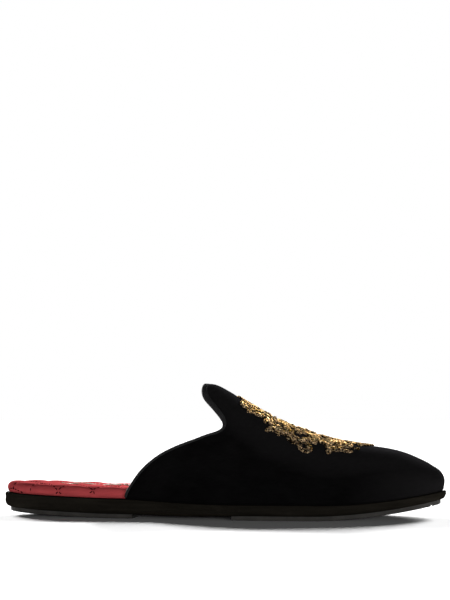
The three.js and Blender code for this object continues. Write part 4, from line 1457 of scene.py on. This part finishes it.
def make_stage(settings):
    """Floor, light, world and the camera at the photograph's angle."""
    scene = bpy.context.scene
    scene.view_settings.view_transform = "Standard"
    floor_mesh = bpy.data.meshes.new("floor")
    half = settings.floor_size / 2
    floor_mesh.from_pydata([(-half, -half, 0), (half, -half, 0), (half, half, 0), (-half, half, 0)], [], [(0, 1, 2, 3)])
    floor = bpy.data.objects.new("floor", floor_mesh)
    scene.collection.objects.link(floor)
    nodes = Nodes("pale_floor")
    paper = nodes.noise(30, 3)
    white = nodes.ramp(paper, tint(settings.floor_color, 0.99), settings.floor_color)
    floor_mesh.materials.append(nodes.finish(white, nodes.range(paper, 0.88, 0.94), specular_ior_level=0.0))

    world = bpy.data.worlds.new("studio")
    scene.world = world
    world.use_nodes = True
    tree = world.node_tree
    soft = tree.nodes["Background"]
    soft.inputs["Color"].default_value = (1, 1, 1, 1)
    soft.inputs["Strength"].default_value = settings.room_light
    plain = tree.nodes.new("ShaderNodeBackground")
    plain.inputs["Color"].default_value = (1, 1, 1, 1)
    plain.inputs["Strength"].default_value = 1.0
    path = tree.nodes.new("ShaderNodeLightPath")
    mixed = tree.nodes.new("ShaderNodeMixShader")
    tree.links.new(path.outputs["Is Camera Ray"], mixed.inputs["Fac"])
    tree.links.new(soft.outputs["Background"], mixed.inputs[1])
    tree.links.new(plain.outputs["Background"], mixed.inputs[2])
    tree.links.new(mixed.outputs["Shader"], tree.nodes["World Output"].inputs["Surface"])

    height = math.radians(settings.back_height)
    for name, hand in (("heel_light", -1), ("toe_light", 1)):
        turn = math.radians(hand * settings.back_side - settings.camera_turn)
        sun_data = bpy.data.lights.new(name, "SUN")
        sun_data.energy = settings.back_strength
        sun_data.angle = math.radians(settings.back_softness)
        sun = bpy.data.objects.new(name, sun_data)
        toward = Vector((math.sin(turn) * math.cos(height), math.cos(turn) * math.cos(height), math.sin(height)))
        sun.rotation_euler = toward.to_track_quat("Z", "Y").to_euler()
        scene.collection.objects.link(sun)
    fill_data = bpy.data.lights.new("front_light", "AREA")
    fill_data.shape = "RECTANGLE"
    fill_data.size = 1.5
    fill_data.size_y = 0.22
    fill_data.energy = settings.front_power
    fill = bpy.data.objects.new("front_light", fill_data)
    fill.location = (0.65, -1.7, 0.13)
    fill.rotation_euler = (Vector((0.0, 0.0, 0.03)) - fill.location).to_track_quat("-Z", "Y").to_euler()
    scene.collection.objects.link(fill)

    camera_data = bpy.data.cameras.new("camera")
    camera_data.lens = settings.lens
    camera_data.sensor_width = 36.0
    camera_data.clip_start = 0.01
    camera = bpy.data.objects.new("camera", camera_data)
    camera.location = (0.1860, -1.2341, 0.0741)
    camera.rotation_euler = (math.radians(90 + settings.camera_pitch), 0.0, math.radians(settings.camera_turn))
    scene.collection.objects.link(camera)
    scene.camera = camera


class SlipperLook(bpy.types.PropertyGroup):
    """Colours and finish of the materials."""

    velvet_color: FloatVectorProperty(
        name="Velvet", description="Colour of the pile", default=(0.0026, 0.0025, 0.0026), subtype="COLOR", size=3
    )
    velvet_sheen: FloatProperty(
        name="Velvet sheen", description="Bloom of the pile at the rims", default=0.0078, min=0, max=1, subtype="FACTOR"
    )
    # Painted light: how much lighter the velvet is painted on its upward faces and its toe end.
    painted_light_gain: FloatProperty(name="Painted light", description="How much lighter the brushed upper faces are", default=4.0, min=1, max=9)
    pile_height: FloatProperty(name="Pile", description="Height of the pile in millimetres", default=0.1, min=0, max=1)
    lining_color: FloatVectorProperty(
        name="Lining", description="Colour of the lining", default=(0.008, 0.0075, 0.008), subtype="COLOR", size=3
    )
    ribbon_color: FloatVectorProperty(
        name="Ribbon", description="Colour of the binding", default=(0.014, 0.014, 0.0143), subtype="COLOR", size=3
    )
    satin_color: FloatVectorProperty(
        name="Satin", description="Colour of the insole", default=(0.31, 0.042, 0.045), subtype="COLOR", size=3
    )
    satin_shine: FloatVectorProperty(
        name="Satin shine", description="Colour of the lit yarns", default=(0.38, 0.064, 0.068), subtype="COLOR", size=3
    )
    seam_color: FloatVectorProperty(
        name="Seams", description="Colour of the quilting thread", default=(0.02, 0.002, 0.003), subtype="COLOR", size=3
    )
    vine_color: FloatVectorProperty(
        name="Vine", description="Colour of the stitched vine", default=(0.5, 0.4, 0.3), subtype="COLOR", size=3
    )
    leather_color: FloatVectorProperty(
        name="Sole", description="Colour of the sole's edge", default=(0.0096, 0.0084, 0.0066), subtype="COLOR", size=3
    )
    rubber_color: FloatVectorProperty(
        name="Rubber", description="Colour of the treads", default=(0.036, 0.0345, 0.032), subtype="COLOR", size=3
    )
    gold_color: FloatVectorProperty(
        name="Gold", description="Colour of the metal thread", default=(0.78, 0.52, 0.275), subtype="COLOR", size=3
    )
    # Painted shade between the threads of the gold.
    gold_painted_shade: FloatVectorProperty(
        name="Deep gold", description="Colour between the threads", default=(0.05, 0.024, 0.009), subtype="COLOR", size=3
    )
    # Painted highlight on the gold's ridges.
    gold_painted_highlight: FloatVectorProperty(
        name="Bright gold", description="Colour of the lit ridges", default=(1.0, 0.79, 0.52), subtype="COLOR", size=3
    )


class SlipperUpper(bpy.types.PropertyGroup):
    """The velvet upper."""

    rows: IntProperty(name="Rows", description="Rows between the sole and the comb", default=120, min=30, max=300)
    columns: IntProperty(name="Columns", description="Columns from the topline to the toe", default=118, min=30, max=300)
    crease_strength: FloatProperty(name="Creases", description="Strength of the soft creases", default=1.0, min=0, max=3)
    feather_round: FloatProperty(
        name="Feather edge", description="How far the velvet turns in at the sole, in millimetres", default=0.9, min=0, max=3
    )


class SlipperBinding(bpy.types.PropertyGroup):
    """The ribbon on the topline."""

    rib_pitch: FloatProperty(name="Rib pitch", description="From rib to rib in millimetres", default=0.9, min=0.3, max=3)
    rib_depth: FloatProperty(name="Rib depth", description="In millimetres", default=0.16, min=0, max=1)
    stitch_length: FloatProperty(name="Stitch", description="Length in millimetres", default=2.2, min=0.5, max=6)
    stitch_gap: FloatProperty(name="Gap", description="Between stitches in millimetres", default=0.9, min=0.2, max=6)


class SlipperInsole(bpy.types.PropertyGroup):
    """The quilted insole."""

    steps: IntProperty(name="Stations", description="Stations along each side", default=420, min=60, max=800)
    profile_steps: IntProperty(name="Edge rings", description="Rings per step of the edge", default=3, min=1, max=8)
    cap_columns: IntProperty(name="Cap columns", description="Columns across the top", default=72, min=10, max=200)
    diamond_length: FloatProperty(name="Diamond length", description="In millimetres", default=23.5, min=5, max=60)
    diamond_width: FloatProperty(name="Diamond width", description="In millimetres", default=28.0, min=5, max=60)
    seam_x: FloatProperty(name="Seam X", description="A crossing of the seams along X, in millimetres", default=-104.7)
    seam_y: FloatProperty(name="Seam Y", description="A crossing of the seams along Y, in millimetres", default=-33.2)
    puff: FloatProperty(name="Puff", description="Height of a diamond over its seams", default=1.15, min=0, max=5)
    stitch_pitch: FloatProperty(name="Stitch pitch", description="In millimetres", default=3.4, min=1, max=8)
    thread_radius: FloatProperty(name="Thread", description="Radius in millimetres", default=0.42, min=0.05, max=1)


class SlipperSole(bpy.types.PropertyGroup):
    """The leather sole and the rubber treads."""

    steps: IntProperty(name="Stations", description="Stations along each side", default=220, min=40, max=600)
    round_steps: IntProperty(name="Round", description="Steps of the rounded edge", default=8, min=2, max=24)
    unevenness: FloatProperty(name="Unevenness", description="Of the burnished edge", default=1.0, min=0, max=4)
    groove_pitch: FloatProperty(name="Groove pitch", description="In millimetres", default=4.2, min=2, max=12)
    groove_width: FloatProperty(name="Groove width", description="In millimetres", default=1.5, min=0.3, max=6)
    groove_depth: FloatProperty(name="Groove depth", description="In millimetres", default=0.9, min=0.1, max=2)
    groove_border: FloatProperty(name="Groove border", description="In millimetres", default=5.5, min=1, max=20)


class SlipperEmbroidery(bpy.types.PropertyGroup):
    """The gold ornament of the vamp."""

    start_at: FloatProperty(name="Start", description="Share of the sole's length where it starts", default=0.532)
    thread_pitch: FloatProperty(name="Thread pitch", description="In millimetres", default=1.5, min=0.2, max=2)
    thread_radius: FloatProperty(name="Thread", description="Radius in millimetres", default=0.52, min=0.05, max=1)
    bead: FloatProperty(name="Bead", description="Length of one bead of a laid thread in millimetres", default=1.5, min=0.3)
    leaflet_pitch: FloatProperty(name="Leaflets", description="Between leaflets on a stem in millimetres", default=6.0, min=2)
    slant: FloatProperty(name="Slant", description="Of the laid threads, in degrees", default=33, min=0, max=60)
    padding: FloatProperty(name="Padding", description="Height under the threads in millimetres", default=0.6, min=0, max=3)
    cord_radius: FloatProperty(name="Cord ply", description="Radius in millimetres", default=0.33, min=0.05, max=1)
    cord_twist: FloatProperty(name="Cord twist", description="Length of one turn in millimetres", default=3.2, min=0.5, max=5)
    cord_step: FloatProperty(name="Cord step", description="Between points, in millimetres", default=0.36, min=0.1, max=1)
    # Shares of plain gold, painted highlight gold and painted shade gold.
    tone_shares: FloatVectorProperty(name="Tones", description="Shares of plain, bright and old gold", default=(0.5, 0.28, 0.22))
    seed: IntProperty(name="Seed", description="For the unevenness of the threads", default=7)


class SlipperStage(bpy.types.PropertyGroup):
    """Floor, light and camera."""

    floor_size: FloatProperty(name="Floor", description="Side of the floor", default=14.0, unit="LENGTH")
    floor_color: FloatVectorProperty(
        name="Floor colour", description="Colour of the floor", default=(0.94, 0.94, 0.94), subtype="COLOR", size=3
    )
    room_light: FloatProperty(name="Room", description="Strength of the light from all sides", default=0.018, min=0)
    back_strength: FloatProperty(name="Back lights", description="Strength of each light behind", default=10.0, min=0)
    back_softness: FloatProperty(name="Softness", description="Width of the lights behind in degrees", default=17, min=0, max=90)
    back_height: FloatProperty(name="Height", description="Degrees of the lights behind above the floor", default=17.5)
    back_side: FloatProperty(name="Side", description="Degrees of the lights behind to each side", default=24)
    front_power: FloatProperty(name="Front light", description="Power of the light in front", default=20.0, unit="POWER")
    lens: FloatProperty(name="Lens", description="Focal length in millimetres", default=112.15)
    camera_pitch: FloatProperty(name="Pitch", description="Degrees above the horizon", default=3.204)
    camera_turn: FloatProperty(name="Turn", description="Degrees round the shoe", default=8.5)


class SLIPPER_OT_upper(bpy.types.Operator):
    """Build the velvet upper with its lining"""

    bl_idname = "slipper.upper"
    bl_label = "Velvet upper"

    def execute(self, context):
        make_upper(context.scene.slipper_upper)
        return {"FINISHED"}


class SLIPPER_OT_binding(bpy.types.Operator):
    """Build the ribbon on the topline and its stitches"""

    bl_idname = "slipper.binding"
    bl_label = "Topline binding"

    def execute(self, context):
        make_binding(context.scene.slipper_binding)
        return {"FINISHED"}


class SLIPPER_OT_insole(bpy.types.Operator):
    """Build the quilted insole and the stitches of its seams"""

    bl_idname = "slipper.insole"
    bl_label = "Quilted insole"

    def execute(self, context):
        make_insole(context.scene.slipper_insole)
        make_seams(context.scene.slipper_insole)
        make_vine(context.scene.slipper_insole)
        return {"FINISHED"}


class SLIPPER_OT_sole(bpy.types.Operator):
    """Build the leather sole and the grooved rubber treads"""

    bl_idname = "slipper.sole"
    bl_label = "Sole and treads"

    def execute(self, context):
        make_outsole(context.scene.slipper_sole)
        make_pads(context.scene.slipper_sole)
        return {"FINISHED"}


class SLIPPER_OT_embroidery(bpy.types.Operator):
    """Build the gold ornament of the vamp"""

    bl_idname = "slipper.embroidery"
    bl_label = "Embroidery"

    def execute(self, context):
        make_embroidery(context.scene.slipper_embroidery)
        return {"FINISHED"}


class SLIPPER_OT_stage(bpy.types.Operator):
    """Set up the floor, the light and the camera"""

    bl_idname = "slipper.stage"
    bl_label = "Stage"

    def execute(self, context):
        make_stage(context.scene.slipper_stage)
        return {"FINISHED"}


class SLIPPER_PT_panel(bpy.types.Panel):
    """Buttons and values of the slipper"""

    bl_label = "Velvet slipper"
    bl_idname = "SLIPPER_PT_panel"
    bl_space_type = "VIEW_3D"
    bl_region_type = "UI"
    bl_category = "Slipper"

    def draw(self, context):
        for group, operator in PANEL_ROWS:
            box = self.layout.box()
            settings = getattr(context.scene, group)
            for name in settings.__annotations__:
                box.prop(settings, name)
            if operator:
                box.operator(operator)


PANEL_ROWS = [
    ("slipper_look", ""),
    ("slipper_upper", "slipper.upper"),
    ("slipper_binding", "slipper.binding"),
    ("slipper_insole", "slipper.insole"),
    ("slipper_sole", "slipper.sole"),
    ("slipper_embroidery", "slipper.embroidery"),
    ("slipper_stage", "slipper.stage"),
]

GROUPS = {
    "slipper_look": SlipperLook,
    "slipper_upper": SlipperUpper,
    "slipper_binding": SlipperBinding,
    "slipper_insole": SlipperInsole,
    "slipper_sole": SlipperSole,
    "slipper_embroidery": SlipperEmbroidery,
    "slipper_stage": SlipperStage,
}

OPERATORS = [
    SLIPPER_OT_upper,
    SLIPPER_OT_binding,
    SLIPPER_OT_insole,
    SLIPPER_OT_sole,
    SLIPPER_OT_embroidery,
    SLIPPER_OT_stage,
]


def register():
    for group in GROUPS.values():
        bpy.utils.register_class(group)
    for operator in OPERATORS:
        bpy.utils.register_class(operator)
    bpy.utils.register_class(SLIPPER_PT_panel)
    for name, group in GROUPS.items():
        setattr(bpy.types.Scene, name, PointerProperty(type=group))


def unregister():
    for name in GROUPS:
        delattr(bpy.types.Scene, name)
    bpy.utils.unregister_class(SLIPPER_PT_panel)
    for operator in reversed(OPERATORS):
        bpy.utils.unregister_class(operator)
    for group in reversed(list(GROUPS.values())):
        bpy.utils.unregister_class(group)


def main():
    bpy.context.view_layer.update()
    register()
    bpy.ops.slipper.upper()
    bpy.ops.slipper.binding()
    bpy.ops.slipper.insole()
    bpy.ops.slipper.sole()
    bpy.ops.slipper.embroidery()
    bpy.ops.slipper.stage()
    bpy.context.view_layer.update()


if __name__ == "__main__":
    main()
